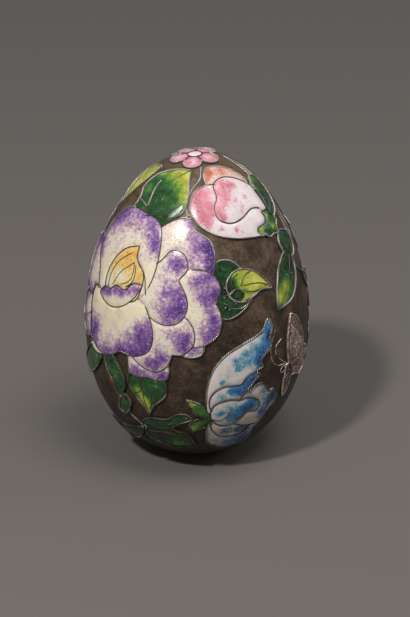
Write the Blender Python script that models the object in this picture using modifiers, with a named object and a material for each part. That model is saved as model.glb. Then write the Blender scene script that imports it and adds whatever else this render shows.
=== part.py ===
"""Enamelled egg ornament: a metal egg that stands on its flattened blunt end, with flowers,
leaves and a butterfly in enamel fields between raised wires.

Every motif is drawn flat, in hundredths of the egg's length, on a plan that touches the egg
at one place. Directions from the egg's core carry the plan onto the egg's curve.
"""
import bpy
import numpy as np
from mathutils.geometry import delaunay_2d_cdt

# Driving sizes, in metres
EGG_LENGTH = 0.0988          # metal egg, blunt tip to pointed tip, before the foot is cut
EGG_WIDTH = 0.0694           # metal egg at its girth
GIRTH_DROP = 0.0062          # widest girth below mid-length
FOOT_CUT = 0.0012            # height taken off the blunt tip to make the foot
CLEARANCE = 0.0003           # free space between a piece and its neighbours
WIRE_WIDTH = 0.0006          # wire seen from above
WIRE_HEIGHT = 0.0006
ENAMEL_THICKNESS = 0.0004
ENAMEL_CROWN = 0.0002        # how far a field swells at its middle

# Fineness of the faceted solids
EGG_SIDES = 36
EGG_RINGS = 19
OUTLINE_STEP = 3.3           # plan distance between points of an outline
FILL_STEP = 4.8              # plan distance between points inside a field
FINE_STEP = 1.7              # outline step of the small blossom
SPECK_AREA = 1.5             # a cut-off corner of a field this small is left out

PLAN_UNIT = EGG_LENGTH / 100
MID_HEIGHT = EGG_LENGTH / 2 - FOOT_CUT
CORE_HEIGHT = MID_HEIGHT - GIRTH_DROP        # core: on the axis, level with the girth

# Colours, linear
PEWTER = (0.085, 0.066, 0.052)
SILVER = (0.52, 0.50, 0.46)
PURPLE = (0.20, 0.08, 0.36)
CREAM = (0.78, 0.70, 0.50)
AMBER = (0.75, 0.42, 0.06)
PINK = (0.80, 0.25, 0.30)
PALE_PINK = (0.85, 0.62, 0.62)
GREEN = (0.03, 0.16, 0.05)
YELLOW_GREEN = (0.36, 0.42, 0.06)
SKY_BLUE = (0.16, 0.45, 0.68)
BLUE = (0.03, 0.14, 0.42)
MAUVE = (0.30, 0.19, 0.17)


def egg_radius(along):
    """Radius of the metal egg at a distance above mid-length; the girth lies at -GIRTH_DROP."""
    length, drop = EGG_LENGTH, GIRTH_DROP
    share = (length ** 2 - 4 * along ** 2) / (length ** 2 + 8 * drop * along + 4 * drop ** 2)
    return EGG_WIDTH / 2 * np.sqrt(np.clip(share, 0, None))


# The same profile seen from the core: reach for each angle off the upward axis
SWEEP = np.linspace(0, np.pi, 1441)
SWEEP_ALONG = EGG_LENGTH / 2 * np.cos(SWEEP)
SWEEP_RADIUS = egg_radius(SWEEP_ALONG)
SWEEP_RISE = SWEEP_ALONG + GIRTH_DROP
SWEEP_ANGLE = np.arctan2(SWEEP_RADIUS, SWEEP_RISE)
SWEEP_REACH = np.hypot(SWEEP_RADIUS, SWEEP_RISE)


def on_egg(directions, lift):
    """Points on the metal egg along directions from its core, raised squarely by lift."""
    angle = np.arccos(np.clip(directions[:, 2], -1, 1))
    points = directions * np.interp(angle, SWEEP_ANGLE, SWEEP_REACH)[:, None]
    points[:, 2] += CORE_HEIGHT
    along = points[:, 2] - MID_HEIGHT
    nudge = EGG_LENGTH / 2000
    slope = (egg_radius(along + nudge) - egg_radius(along - nudge)) / (2 * nudge)
    outward = points * (1, 1, 0)
    outward /= np.maximum(np.linalg.norm(outward, axis=1), 1e-9)[:, None]
    outward[:, 2] = -slope
    outward /= np.linalg.norm(outward, axis=1)[:, None]
    return points + outward * np.reshape(lift, (-1, 1))


class Plan:
    """A flat drawing laid on the egg: u to the right, v upwards, from the place it touches.

    azimuth turns from the front to the right and rise goes up from the girth. unit_angle is
    what one plan unit spans, seen from the core. All are in degrees.
    """

    def __init__(self, azimuth, rise, unit_angle):
        turn, lean = np.radians(azimuth), np.radians(rise)
        self.out = np.array([np.sin(turn) * np.cos(lean), -np.cos(turn) * np.cos(lean), np.sin(lean)])
        self.up = np.array([0, 0, 1]) - self.out[2] * self.out
        self.up /= np.linalg.norm(self.up)
        self.right = np.cross(self.up, self.out)
        self.unit = np.radians(unit_angle)

    def directions(self, drawing):
        """Directions from the core for points of the drawing."""
        u, v = drawing[:, :1], drawing[:, 1:]
        distance = np.maximum(np.hypot(u, v), 1e-9)
        angle = distance * self.unit
        aside = (u * self.right + v * self.up) / distance
        return np.cos(angle) * self.out + np.sin(angle) * aside

    def drawing(self, directions):
        """Points of the drawing for directions from the core."""
        angle = np.arccos(np.clip(directions @ self.out, -1, 1))
        scale = angle / (self.unit * np.maximum(np.sin(angle), 1e-9))
        return np.column_stack([directions @ self.right * scale, directions @ self.up * scale])


PEONY = Plan(azimuth=-28, rise=22.5, unit_angle=1.561)
ABOVE_PEONY = Plan(azimuth=-38, rise=64.5, unit_angle=1.174)
FAR_LEFT = Plan(azimuth=-62, rise=-12.9, unit_angle=1.605)
LOW = Plan(azimuth=-8, rise=-32, unit_angle=1.52)
ROSEBUD = Plan(azimuth=30, rise=61.8, unit_angle=1.201)
TOP = Plan(azimuth=-68, rise=87.8, unit_angle=1.019)
RIGHT = Plan(azimuth=55, rise=9.8, unit_angle=1.609)
BLUE_FLOWER = Plan(azimuth=24, rise=-12.9, unit_angle=1.605)
BACK = Plan(azimuth=176, rise=14, unit_angle=1.583)


def smooth_run(points, closed, step):
    """Even steps along the smooth curve through the points, without its last point.

    At each point the curve heads from the point before to the point after.
    """
    ends = [2 * points[0] - points[1]], [2 * points[-1] - points[-2]]
    if closed:
        ends = [points[-1]], [points[0], points[1]]
    path = np.vstack([ends[0], points, ends[1]])
    t = np.linspace(0, 1, 16, endpoint=False)[:, None]
    spans = []
    for before, start, end, after in zip(path[:-3], path[1:-2], path[2:-1], path[3:]):
        span = np.linalg.norm(end - start)
        leave = (end - before) * span / (np.linalg.norm(start - before) + span)
        arrive = (after - start) * span / (np.linalg.norm(after - end) + span)
        spans.append((2 * t**3 - 3 * t**2 + 1) * start + (t**3 - 2 * t**2 + t) * leave
                     + (3 * t**2 - 2 * t**3) * end + (t**3 - t**2) * arrive)
    curve = np.vstack(spans + [path[-2:-1] if not closed else points[:1]])
    travelled = np.append(0, np.cumsum(np.linalg.norm(np.diff(curve, axis=0), axis=1)))
    count = max(3, round(travelled[-1] / step))
    stops = np.linspace(0, travelled[-1], count, endpoint=False)
    return np.column_stack([np.interp(stops, travelled, curve[:, i]) for i in (0, 1)])


def outline(strokes, step):
    """Closed outline from smooth strokes that meet at corners.

    One stroke makes a round loop, or a loop with one corner when it ends where it began.
    """
    strokes = [np.array(stroke, float) for stroke in strokes]
    if len(strokes) == 1 and not np.array_equal(strokes[0][0], strokes[0][-1]):
        loop = smooth_run(strokes[0], True, step)
    else:
        loop = np.vstack([smooth_run(stroke, False, step) for stroke in strokes])
    return loop if signed_area(loop) > 0 else loop[::-1]


def signed_area(loop):
    """Area inside a loop of points, positive when it runs anticlockwise."""
    ahead = np.roll(loop, -1, axis=0)
    return 0.5 * np.sum(loop[:, 0] * ahead[:, 1] - ahead[:, 0] * loop[:, 1])


def offset(loop, distance):
    """The loop moved outwards by distance (inwards when negative), with mitred corners."""
    edges = np.roll(loop, -1, axis=0) - loop
    edges /= np.linalg.norm(edges, axis=1)[:, None]
    normals = np.column_stack([edges[:, 1], -edges[:, 0]])
    previous = np.roll(normals, 1, axis=0)
    mitre = 1 + np.sum(normals * previous, axis=1)
    return loop + distance * (normals + previous) / np.maximum(mitre, 0.25)[:, None]


def inside(loop, points):
    """Whether each point lies inside the loop, by counting the edges to its right."""
    x, y = points[:, :1], points[:, 1:]
    x0, y0 = loop.T
    x1, y1 = np.roll(loop, -1, axis=0).T
    spans = (y0 > y) != (y1 > y)
    rise = np.where(y1 == y0, 1, y1 - y0)
    crossings = spans & (x < x0 + (y - y0) * (x1 - x0) / rise)
    return np.sum(crossings, axis=1) % 2 == 1


def triangulate(loops, extra=()):
    """Points and triangles of a flat mesh that keeps every edge of the loops."""
    points = np.vstack(list(loops) + ([extra] if len(extra) else []))
    edges, start = [], 0
    for loop in loops:
        turn = range(start, start + len(loop))
        edges += [(i, i + 1 if i + 1 < turn.stop else start) for i in turn]
        start = turn.stop
    result = delaunay_2d_cdt([tuple(p) for p in points], edges, [], 0, 1e-4)
    return np.array([tuple(p) for p in result[0]]), np.array(result[2])


def largest_body(triangles):
    """The triangles of the largest group that is joined edge to edge."""
    owners = {}
    for index, triangle in enumerate(triangles):
        for a, b in zip(triangle, np.roll(triangle, -1)):
            owners.setdefault((min(a, b), max(a, b)), []).append(index)
    group = np.arange(len(triangles))
    changed = True
    while changed:
        changed = False
        for pair in owners.values():
            lowest = min(group[i] for i in pair)
            for i in pair:
                if group[i] != lowest:
                    group[i] = lowest
                    changed = True
    return triangles[group == np.bincount(group).argmax()]


def boundary_loops(points, triangles, straight=0.03):
    """The closed edges of a flat mesh, without points that lie on a straight stretch."""
    ways = {(a, b) for tri in triangles for a, b in zip(tri, np.roll(tri, -1))}
    following = {}
    for a, b in ways:
        if (b, a) not in ways:
            if a in following:
                raise ValueError("outlines pinch at plan point %s" % np.round(points[a], 2))
            following[a] = b
    loops = []
    while following:
        start, here = next(iter(following.items()))
        del following[start]
        ring = [start]
        while here != start:
            ring.append(here)
            here = following.pop(here)
        loops.append(without_straight_points(points[ring], straight))
    return [loop for loop in loops if len(loop) > 2]


def without_straight_points(loop, straight):
    """The loop less each point that lies within straight of the line past it."""
    kept = list(loop)
    index = 0
    while index < len(kept) and len(kept) > 3:
        before, here, after = kept[index - 1], kept[index], kept[(index + 1) % len(kept)]
        chord = after - before
        length = max(np.linalg.norm(chord), 1e-9)
        bulge = abs(chord[0] * (here - before)[1] - chord[1] * (here - before)[0]) / length
        if bulge < straight and length < 1.5 * OUTLINE_STEP:
            del kept[index]
        else:
            index += 1
    return np.array(kept)


def region_sheet(name, loops, belongs, fill):
    """Flat mesh of the region that belongs() picks among the areas the loops cut out."""
    points, triangles = triangulate(loops)
    chosen = triangles[belongs(points[triangles].mean(axis=1))]
    body = largest_body(chosen)
    if flat_area(points, chosen) - flat_area(points, body) > SPECK_AREA:
        raise ValueError(name + " falls apart")
    edges = boundary_loops(points, body)
    inner = np.empty((0, 2))
    if fill:
        low, high = np.vstack(edges).min(axis=0), np.vstack(edges).max(axis=0)
        rows = np.arange(low[1] + fill / 2, high[1], fill * 0.87)
        inner = np.array([(x + (row % 2) * fill / 2, y) for row, y in enumerate(rows)
                          for x in np.arange(low[0] + fill / 4, high[0], fill)])
        room = np.min(np.linalg.norm(inner[:, None] - np.vstack(edges)[None], axis=2), axis=1)
        inner = inner[within_all(edges, inner) & (room > 0.42 * fill)]
    points, triangles = triangulate(edges, inner)
    triangles = triangles[within_all(edges, points[triangles].mean(axis=1))]
    crowned = np.array([len(inner) > 0 and np.min(np.linalg.norm(inner - p, axis=1)) < 1e-6
                        for p in points])
    return points, triangles, crowned


def flat_area(points, triangles):
    """Area of flat triangles."""
    first, second, third = (points[triangles[:, i]] for i in range(3))
    sides = second - first, third - first
    return 0.5 * np.sum(np.abs(sides[0][:, 0] * sides[1][:, 1] - sides[0][:, 1] * sides[1][:, 0]))


def within_all(loops, points):
    """Whether each point lies inside an odd number of the loops."""
    return np.sum([inside(loop, points) for loop in loops], axis=0) % 2 == 1


def material(name, colour, roughness, metallic):
    """Plain material with one colour."""
    made = bpy.data.materials.new(name)
    made.use_nodes = True
    shader = made.node_tree.nodes["Principled BSDF"]
    shader.inputs["Base Color"].default_value = (*colour, 1)
    shader.inputs["Roughness"].default_value = roughness
    shader.inputs["Metallic"].default_value = metallic
    return made


def add_object(name, points, faces, colour, roughness, metallic):
    """Mesh object in the egg's collection, with its own material."""
    mesh = bpy.data.meshes.new(name)
    mesh.from_pydata([tuple(p) for p in points], [], [tuple(int(i) for i in f) for f in faces])
    mesh.materials.append(material(name, colour, roughness, metallic))
    made = bpy.data.objects.new(name, mesh)
    collection.objects.link(made)
    return made


def raise_sheet(name, plan, sheet, thickness, crown, colour, roughness, metallic):
    """Solid plate over the egg from a flat sheet, a clearance above the metal."""
    points, triangles, crowned = sheet
    lift = CLEARANCE + crown * crowned
    made = add_object(name, on_egg(plan.directions(points), lift), triangles, colour, roughness, metallic)
    solid = made.modifiers.new("thickness", "SOLIDIFY")
    solid.thickness = thickness
    solid.offset = 1
    return made


class Field:
    """One enamel field: a name, its plan, its colour and the strokes of its whole outline."""

    def __init__(self, name, plan, colour, *strokes, step=OUTLINE_STEP):
        self.name = name
        self.plan = plan
        self.colour = colour
        self.loop = outline(strokes, step)

    def grown(self, distance, base):
        """The outline moved outwards by a real distance, on another plan."""
        return base.drawing(self.plan.directions(offset(self.loop, distance / PLAN_UNIT)))


WIRE_HALF = WIRE_WIDTH / 2
FIELD_EDGE = WIRE_HALF + CLEARANCE


def make_motif(wires_name, base, fields, above):
    """Enamel fields and the wire round them; a field hides those later in the list.

    above holds the fields of other motifs that this one runs under.
    """
    def edges(field, distance):
        return field.grown(distance, base)

    blocked = [edges(other, FIELD_EDGE) for other in above]
    wire_outer = [edges(field, WIRE_HALF) for field in fields]
    wire_inner = [edges(field, -WIRE_HALF) for field in fields]
    field_outer = [edges(field, FIELD_EDGE) for field in fields]
    field_inner = [edges(field, -FIELD_EDGE) for field in fields]

    def seen_in(chosen):
        def belongs(points):
            clear = ~np.any([inside(loop, points) for loop in blocked + field_outer[:chosen]]
                            + [np.zeros(len(points), bool)], axis=0)
            return clear & inside(field_inner[chosen], points)
        return belongs

    def on_wire(points):
        clear = ~np.any([inside(loop, points) for loop in blocked]
                        + [np.zeros(len(points), bool)], axis=0)
        wire = np.zeros(len(points), bool)
        for outer, inner in zip(wire_outer, wire_inner):
            here = inside(outer, points)
            wire |= clear & here & ~inside(inner, points)
            clear &= ~here
        return wire

    for index, field in enumerate(fields):
        loops = blocked + field_outer[:index] + [field_inner[index]]
        sheet = region_sheet(field.name, loops, seen_in(index), FILL_STEP)
        raise_sheet(field.name, base, sheet, ENAMEL_THICKNESS, ENAMEL_CROWN, field.colour, 0.15, 0)
    sheet = region_sheet(wires_name, blocked + wire_outer + wire_inner, on_wire, None)
    raise_sheet(wires_name, base, sheet, WIRE_HEIGHT, 0, SILVER, 0.35, 1)


def make_egg_body():
    """Metal egg turned from its profile, with a flat foot."""
    foot_angle = np.arccos(-MID_HEIGHT / (EGG_LENGTH / 2))
    angles = np.linspace(0, foot_angle, EGG_RINGS)
    along = EGG_LENGTH / 2 * np.cos(angles)
    profile = [(radius, 0, a + MID_HEIGHT) for radius, a in zip(egg_radius(along), along)]
    profile[0] = (0, 0, profile[0][2])
    profile[-1] = (profile[-1][0], 0, 0)
    profile.append((0, 0, 0))
    mesh = bpy.data.meshes.new("egg_body")
    mesh.from_pydata(profile, [(i, i + 1) for i in range(len(profile) - 1)], [])
    mesh.materials.append(material("egg_body", PEWTER, 0.45, 0.8))
    body = bpy.data.objects.new("egg_body", mesh)
    collection.objects.link(body)
    turned = body.modifiers.new("turned", "SCREW")
    turned.steps = EGG_SIDES
    turned.render_steps = EGG_SIDES
    turned.use_merge_vertices = True
    turned.merge_threshold = 0.00001
    turned.use_smooth_shade = True
    return body


def petal_ring(name, plan, colour, count, first, middle, half_length, half_width, step=OUTLINE_STEP):
    """Rounded petals set evenly round a plan's centre, each broader at its outer end."""
    around = np.linspace(0, 2 * np.pi, 8, endpoint=False)
    petals = []
    for index in range(count):
        angle = np.radians(first + 360 / count * index)
        along = middle + half_length * np.cos(around)
        across = half_width * np.sin(around) * (1 + 0.18 * np.cos(around))
        stroke = np.column_stack([along * np.cos(angle) - across * np.sin(angle),
                                  along * np.sin(angle) + across * np.cos(angle)])
        petals.append(Field("%s_petal_%d" % (name, index + 1), plan, colour, stroke, step=step))
    return petals


def disc(radius, points=8):
    """Stroke of a round field about its plan's centre."""
    around = np.linspace(0, 2 * np.pi, points, endpoint=False)
    return radius * np.column_stack([np.cos(around), np.sin(around)])


for stale in list(bpy.data.objects):
    bpy.data.objects.remove(stale)
collection = bpy.data.collections.new("enamelled_egg")
bpy.context.scene.collection.children.link(collection)

make_egg_body()

# Peony, with the leaves that come out from under it
peony = [
    Field("peony_cup_petal", PEONY, CREAM,
          [(-19.6, 4.2), (-17, 6.3), (-14, 6), (-11.4, 7.4), (-8.2, 6.5), (-4.8, 8.9), (-1.7, 8.9)],
          [(-1.7, 8.9), (-4.2, 4.8), (-8.4, 1.6), (-13, 0.7), (-17, 2), (-19.6, 4.2)]),
    Field("peony_heart", PEONY, AMBER,
          [(-17, 4.5), (-16.5, 9.8), (-13.6, 14.6), (-9.6, 17.4), (-5.1, 18.5)],
          [(-5.1, 18.5), (-5, 15.6), (-2.2, 12), (-2, 8.4), (-4, 4), (-12, 3.2), (-17, 4.5)]),
    Field("peony_large_petal", PEONY, PURPLE,
          [(-8, -13.1), (-2.6, -13.5), (2.4, -10.8), (3.8, -6.4), (2.4, -0.8), (-1, 4), (-10, 5.4),
           (-18, 4.8), (-22, 6.2), (-24.4, 3.4), (-25.4, -3.4), (-24.6, -11.4), (-20.4, -15.3),
           (-14, -16), (-8, -13.1)]),
    Field("peony_top_left_petal", PEONY, PURPLE,
          [(1.4, 17.2), (-0.4, 23.8), (-6, 26.1), (-12.6, 27.3), (-19, 24.4), (-23.6, 18.4), (-21.4, 11),
           (-20, 4.8), (-12, 3.6), (-3.4, 4.2), (0.4, 9.4)]),
    Field("peony_middle_petal", PEONY, PURPLE,
          [(8.4, 12.6), (12, 8.2), (12.7, 4), (10.4, 0.2), (5.6, -0.9), (1, 1.2), (-3, 5), (-2.4, 12),
           (2.3, 16.2), (4.6, 19.2), (8.2, 18.9), (10, 15.8), (8.4, 12.6)]),
    Field("peony_lower_petal", PEONY, PURPLE,
          [(10.6, -9.9), (14.2, -9.2), (16.8, -5.4), (16.2, -0.8), (12.6, 2.8), (6, 2.4), (0, -2),
           (-4, -10), (-3.2, -13.6), (0.8, -16.4), (5.4, -17.2), (9, -14.6), (10.6, -9.9)]),
    Field("peony_right_petal", PEONY, PURPLE,
          [(20.3, 9.6), (23.4, 5.2), (23.8, 0), (21.2, -4), (17, -6), (12.6, -2), (10, 6), (7.6, 13.6),
           (12, 16.3), (17, 16.5), (20.4, 13.4), (20.3, 9.6)]),
    Field("peony_top_right_petal", PEONY, PURPLE,
          [(9, 24.7), (6.2, 26.8), (2.4, 25.4), (-2, 21), (-2, 14), (5, 12), (13, 13.4), (16.7, 15.6),
           (16.2, 20), (13.4, 23.7), (9, 24.7)]),
    Field("peony_under_petal", PEONY, PURPLE,
          [(3, -19.6), (-0.6, -20.3), (-3.8, -19.8), (-5.1, -16.4), (-4, -12.4), (2, -13), (8, -12),
           (10, -15), (9.4, -18.9), (6.6, -20.1), (3, -19.6)]),
    Field("peony_left_petal", PEONY, CREAM,
          [(-18.6, 6), (-19, 16), (-22, 20.4), (-25.6, 22.2), (-30.4, 20), (-33, 13), (-31.6, 6),
           (-27, 3), (-22, 3.2)]),
    Field("peony_lower_left_petal", PEONY, CREAM,
          [(-22.6, 3.6), (-27.6, 5.2), (-32.4, 1.4), (-33.6, -5), (-31, -10.6), (-26.6, -12.4),
           (-22.4, -9), (-21, -2)]),
    Field("leaf_above_peony", ABOVE_PEONY, YELLOW_GREEN,
          [(3.2, 13.6), (4.4, 11), (7.4, 6.4), (8.3, 2.6), (6.4, -1.6), (2, -5), (-4, -4.6), (-9.4, -0.6)],
          [(-9.4, -0.6), (-8.2, 2.6), (-8.8, 6), (-6.6, 9.4), (-2.2, 11.8), (3.2, 13.6)]),
    Field("curled_leaf", RIGHT, YELLOW_GREEN,
          [(-20, 17.6), (-18.6, 21.8), (-15, 23.5), (-10.6, 22), (-7.6, 18.8), (-5.6, 15.6)],
          [(-5.6, 15.6), (-9.4, 16.2), (-13, 15.3), (-17.4, 14.8), (-20, 17.6)]),
    Field("curled_leaf_upper_lobe", RIGHT, GREEN,
          [(-18, 19), (-21.6, 22), (-20.8, 25.8), (-18, 27.2), (-14.8, 25.6), (-13.4, 22), (-15, 19.6)]),
    Field("curled_leaf_lower_lobe", RIGHT, GREEN,
          [(-25, 14.6), (-22.6, 11.2), (-18.6, 11.6), (-13.2, 14.4)],
          [(-13.2, 14.4), (-14.6, 17.4), (-19, 19), (-23.6, 18), (-25, 14.6)]),
    Field("leaf_below_peony", LOW, GREEN,
          [(-9.4, 0.3), (-7.8, 4.8), (-4.4, 9.4), (-4, 13), (-6, 17), (-12, 17.4), (-17, 14.6),
           (-18, 10.6), (-15, 6.4), (-11.6, 3.2), (-9.4, 0.3)]),
    Field("left_leaf", FAR_LEFT, GREEN,
          [(8, 9), (11, 5.4), (13.8, 1), (14.5, -3), (13.2, -6), (13.4, -9)],
          [(13.4, -9), (10.6, -7.6), (9, -3), (6.8, 1.4), (6, 6), (8, 9)]),
    Field("far_left_leaf", FAR_LEFT, GREEN,
          [(5.4, 7), (3.4, 2), (-1, -2.6), (-5, -5.6), (-10, -8)],
          [(-10, -8), (-10.6, -3), (-6, 2), (-1, 6.4), (5.4, 7)]),
]
make_motif("peony_wires", PEONY, peony, [])

# Five-petalled blossom on the pointed end
blossom = petal_ring("blossom", TOP, PALE_PINK, 5, 42, 4.4, 3.2, 2.7, FINE_STEP)
make_motif("blossom_wires", TOP, blossom, [])

# Rosebud, its calyx and the leaf of its stem
rosebud = [
    Field("rosebud_calyx", ROSEBUD, YELLOW_GREEN,
          [(9.8, 2.3), (10.8, 0.6), (9.4, -0.8), (6.7, -2.9)],
          [(6.7, -2.9), (8.6, -4.2), (12, -4.6), (15.6, -2.6), (16.8, 1), (14.4, 4), (9.8, 2.3)]),
    Field("rosebud_heart_petal", ROSEBUD, PALE_PINK,
          [(8.6, 10.4), (4.4, 12), (0, 12.6), (-3.2, 11), (-3.7, 7.4), (-5.6, 5), (-5.4, 1.6), (-2, -0.2),
           (2.6, 1), (6.8, 3.6), (11.8, 3)],
          [(11.8, 3), (12.6, 4.2), (11, 6.9), (8.6, 10.4)]),
    Field("rosebud_outer_petal", ROSEBUD, PINK,
          [(-3.6, 11.4), (-8.6, 11.2), (-12, 7.6), (-11.8, 3), (-8, -1.8), (-2, -4.5), (5, -4.9),
           (11, -3.6), (11.4, 1), (7, 7), (0, 9.6)]),
    Field("rosebud_back_petal", ROSEBUD, PALE_PINK,
          [(-5, 12), (-4.2, 15), (-2, 16.6), (3.6, 15.2), (7.4, 12.2)],
          [(7.4, 12.2), (7.4, 9), (0, 9), (-5, 9.4), (-5, 12)]),
    Field("rosebud_leaf", ROSEBUD, GREEN,
          [(9.4, 12), (10.6, 14.6), (14, 14.6), (17, 11), (17.6, 6), (15, 2), (12.6, 5.2)]),
]
make_motif("rosebud_wires", ROSEBUD, rosebud, peony + blossom)

# Leaf on the right, its stem turned away from the front
right_leaf = [
    Field("right_leaf", RIGHT, GREEN,
          [(-4.7, 8.5), (-3.8, 14), (-1.4, 18.8), (2.4, 22.2), (6, 22.4)],
          [(6, 22.4), (7.8, 19), (6.8, 14.4), (3, 10.2), (-4.7, 8.5)]),
]
make_motif("right_leaf_wire", RIGHT, right_leaf, peony + rosebud)

# Blue flower with its two sepals
blue_flower = [
    Field("blue_flower_front_petal", BLUE_FLOWER, SKY_BLUE,
          [(-8.8, -8.4), (-7, -5.3), (-3.6, -4.2), (0.4, -4.3), (3.6, -3.6), (6.2, -5.2), (6.8, -8),
           (4.8, -9.8), (2, -9.6), (-0.6, -13), (-4.2, -13.9), (-7.4, -12)]),
    Field("blue_flower_second_petal", BLUE_FLOWER, BLUE,
          [(-9.6, -4.4), (-7, 0.2), (-3, 1.4), (0.4, 1.6), (2.4, 4), (5, 4), (3.4, 0.6), (0.6, -3),
           (-2, -7), (-8, -8)]),
    Field("blue_flower_long_petal", BLUE_FLOWER, SKY_BLUE,
          [(9.2, 21.2), (7, 17.8), (0, 15), (-6, 11.6), (-9.8, 6), (-10.8, -1), (-9.4, -8.6), (-5, -9),
           (0, -4), (2, 2), (5, 5.4), (7.2, 8.6), (9.8, 12.4), (10.8, 18), (9.2, 21.2)]),
    Field("blue_flower_back_petal", BLUE_FLOWER, BLUE,
          [(1.6, -2.2), (4.8, 0.3), (8, -1), (10.4, -4.2), (14, -6), (13.2, -10.4), (9.4, -15),
           (4, -15.4), (-2, -12), (-1, -6)]),
    Field("blue_flower_lower_petal", BLUE_FLOWER, SKY_BLUE,
          [(-7.6, -13.6), (-4.6, -18), (0.4, -19.2), (4.6, -17.4), (5.4, -13), (0, -10.4), (-6, -10.6)]),
    Field("blue_flower_lowest_petal", BLUE_FLOWER, SKY_BLUE,
          [(-8.4, -13), (-7.6, -19.6), (-4, -24.2), (1, -25.6), (5.8, -23.6), (7.6, -19), (6.4, -14),
           (0, -12), (-5, -11.4)]),
    Field("blue_flower_upper_sepal", BLUE_FLOWER, GREEN,
          [(-16.4, -4.4), (-12.4, -5.4), (-8.6, -8.4)],
          [(-8.6, -8.4), (-8.4, -10.8), (-12.2, -10), (-14.8, -7.4), (-16.4, -4.4)]),
    Field("blue_flower_lower_sepal", BLUE_FLOWER, YELLOW_GREEN,
          [(-12.4, -17.2), (-9, -14.6), (-7, -13), (-7.6, -11.4), (-11.2, -11.2), (-13.8, -13.6),
           (-12.4, -17.2)]),
]
make_motif("blue_flower_wires", BLUE_FLOWER, blue_flower, peony)

# Two long leaves near the foot
low_leaves = [
    Field("low_leaf", LOW, GREEN,
          [(4.4, 0.9), (2.6, 2.9), (-0.4, 2.7), (-4, 0), (-8.6, -1.2), (-11.2, -3), (-12, -6.4)],
          [(-12, -6.4), (-7.4, -4.6), (-2.6, -3.6), (0, -1.2), (4.4, 0.9)]),
    Field("base_leaf", LOW, GREEN,
          [(-10, -5), (-4.4, -3.2), (-1, -4.4), (3, -7), (4.6, -12)],
          [(4.6, -12), (-1, -13.6), (-7.4, -12), (-10.8, -9), (-10, -5)]),
]
make_motif("low_leaf_wires", LOW, low_leaves, peony + blue_flower)

# Butterfly with folded wings
butterfly = [
    Field("butterfly_body", RIGHT, MAUVE,
          [(-1.4, -10.4), (0.8, -11.6), (2, -15), (1.8, -19), (0.2, -22.4), (-1.4, -19), (-1.6, -15)]),
    Field("butterfly_fore_wing", RIGHT, MAUVE,
          [(0, -11), (-1.2, -5.6), (-0.9, 0), (0.9, 5.8)],
          [(0.9, 5.8), (5.6, 3.4), (8.8, -1.6), (8.8, -7), (5.6, -11), (0, -13.4), (0, -11)]),
    Field("butterfly_hind_wing", RIGHT, MAUVE,
          [(0.4, -13), (5, -9), (10.4, -8), (14.2, -11), (13.4, -15.6), (9, -17.6), (4.6, -16), (0, -15)]),
]
make_motif("butterfly_wires", RIGHT, butterfly, blue_flower)

# Round flower with two leaves on the back
back_flower = [Field("back_flower_heart", BACK, AMBER, disc(5))]
back_flower += petal_ring("back_flower", BACK, PURPLE, 5, 90, 12.4, 10, 8.8)
back_flower += [
    Field("back_leaf_right", BACK, GREEN,
          [(12, -14), (20, -11.4), (28, -15), (34, -24)],
          [(34, -24), (25, -26), (17, -23.6), (12, -14)]),
    Field("back_leaf_left", BACK, GREEN,
          [(-6, 10), (-12, 20), (-20, 26.6), (-30, 30)],
          [(-30, 30), (-28, 20), (-20, 12.6), (-6, 10)]),
    Field("back_leaf_low", BACK, YELLOW_GREEN,
          [(-12, -15), (-14.6, -23), (-21.6, -28), (-29, -29)],
          [(-29, -29), (-27.4, -21), (-21, -15.6), (-12, -15)]),
]
make_motif("back_flower_wires", BACK, back_flower, [])
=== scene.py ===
"""Looks of the enamelled egg: a dark metal egg with flowers, leaves and a butterfly in glass
fields between twisted wires.

Lengths are in metres. A motif is drawn flat, in hundredths of the egg's length, on a plan that
touches the egg at one place, and directions from the egg's core carry it onto the curve.
"""
from functools import partial

import bmesh
import bpy
import numpy as np
from mathutils import Matrix


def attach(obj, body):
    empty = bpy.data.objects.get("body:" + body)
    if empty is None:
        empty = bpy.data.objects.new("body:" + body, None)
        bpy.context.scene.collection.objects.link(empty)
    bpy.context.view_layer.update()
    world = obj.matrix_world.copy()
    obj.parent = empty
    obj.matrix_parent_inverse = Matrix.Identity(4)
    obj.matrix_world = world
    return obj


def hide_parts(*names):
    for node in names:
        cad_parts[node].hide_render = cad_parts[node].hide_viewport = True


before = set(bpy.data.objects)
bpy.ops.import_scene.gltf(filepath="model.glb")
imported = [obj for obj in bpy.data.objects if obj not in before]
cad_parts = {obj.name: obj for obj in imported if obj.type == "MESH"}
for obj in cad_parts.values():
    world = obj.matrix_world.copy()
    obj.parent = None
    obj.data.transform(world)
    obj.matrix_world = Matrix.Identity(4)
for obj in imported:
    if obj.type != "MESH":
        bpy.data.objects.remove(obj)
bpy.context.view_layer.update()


# The egg is a thin metal shell in two halves, soldered into one, oxidised brown and rubbed to a
# satin. A small flat beaten into its blunt end lets it stand.
EGG_LENGTH = 0.0988
EGG_WIDTH = 0.0694
GIRTH_DROP = 0.0062
FOOT_CUT = 0.0012
EGG_ROWS, EGG_COLUMNS = 161, 240
MERGE_REACH = 2e-6
MID_HEIGHT = EGG_LENGTH / 2 - FOOT_CUT
CORE_HEIGHT = MID_HEIGHT - GIRTH_DROP


def egg_radius(along):
    """Radius at a distance above mid-length, from the egg curve of two circles set apart:
    half the width, times the root of (L2 - 4x2) over (L2 + 8wx + 4w2)."""
    length, drop = EGG_LENGTH, GIRTH_DROP
    share = (length ** 2 - 4 * along ** 2) / (length ** 2 + 8 * drop * along + 4 * drop ** 2)
    return EGG_WIDTH / 2 * np.sqrt(np.clip(share, 0, None))


def unit(vectors):
    """Vectors brought to length one along the last axis."""
    return vectors / np.maximum(np.linalg.norm(vectors, axis=-1, keepdims=True), 1e-12)


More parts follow.
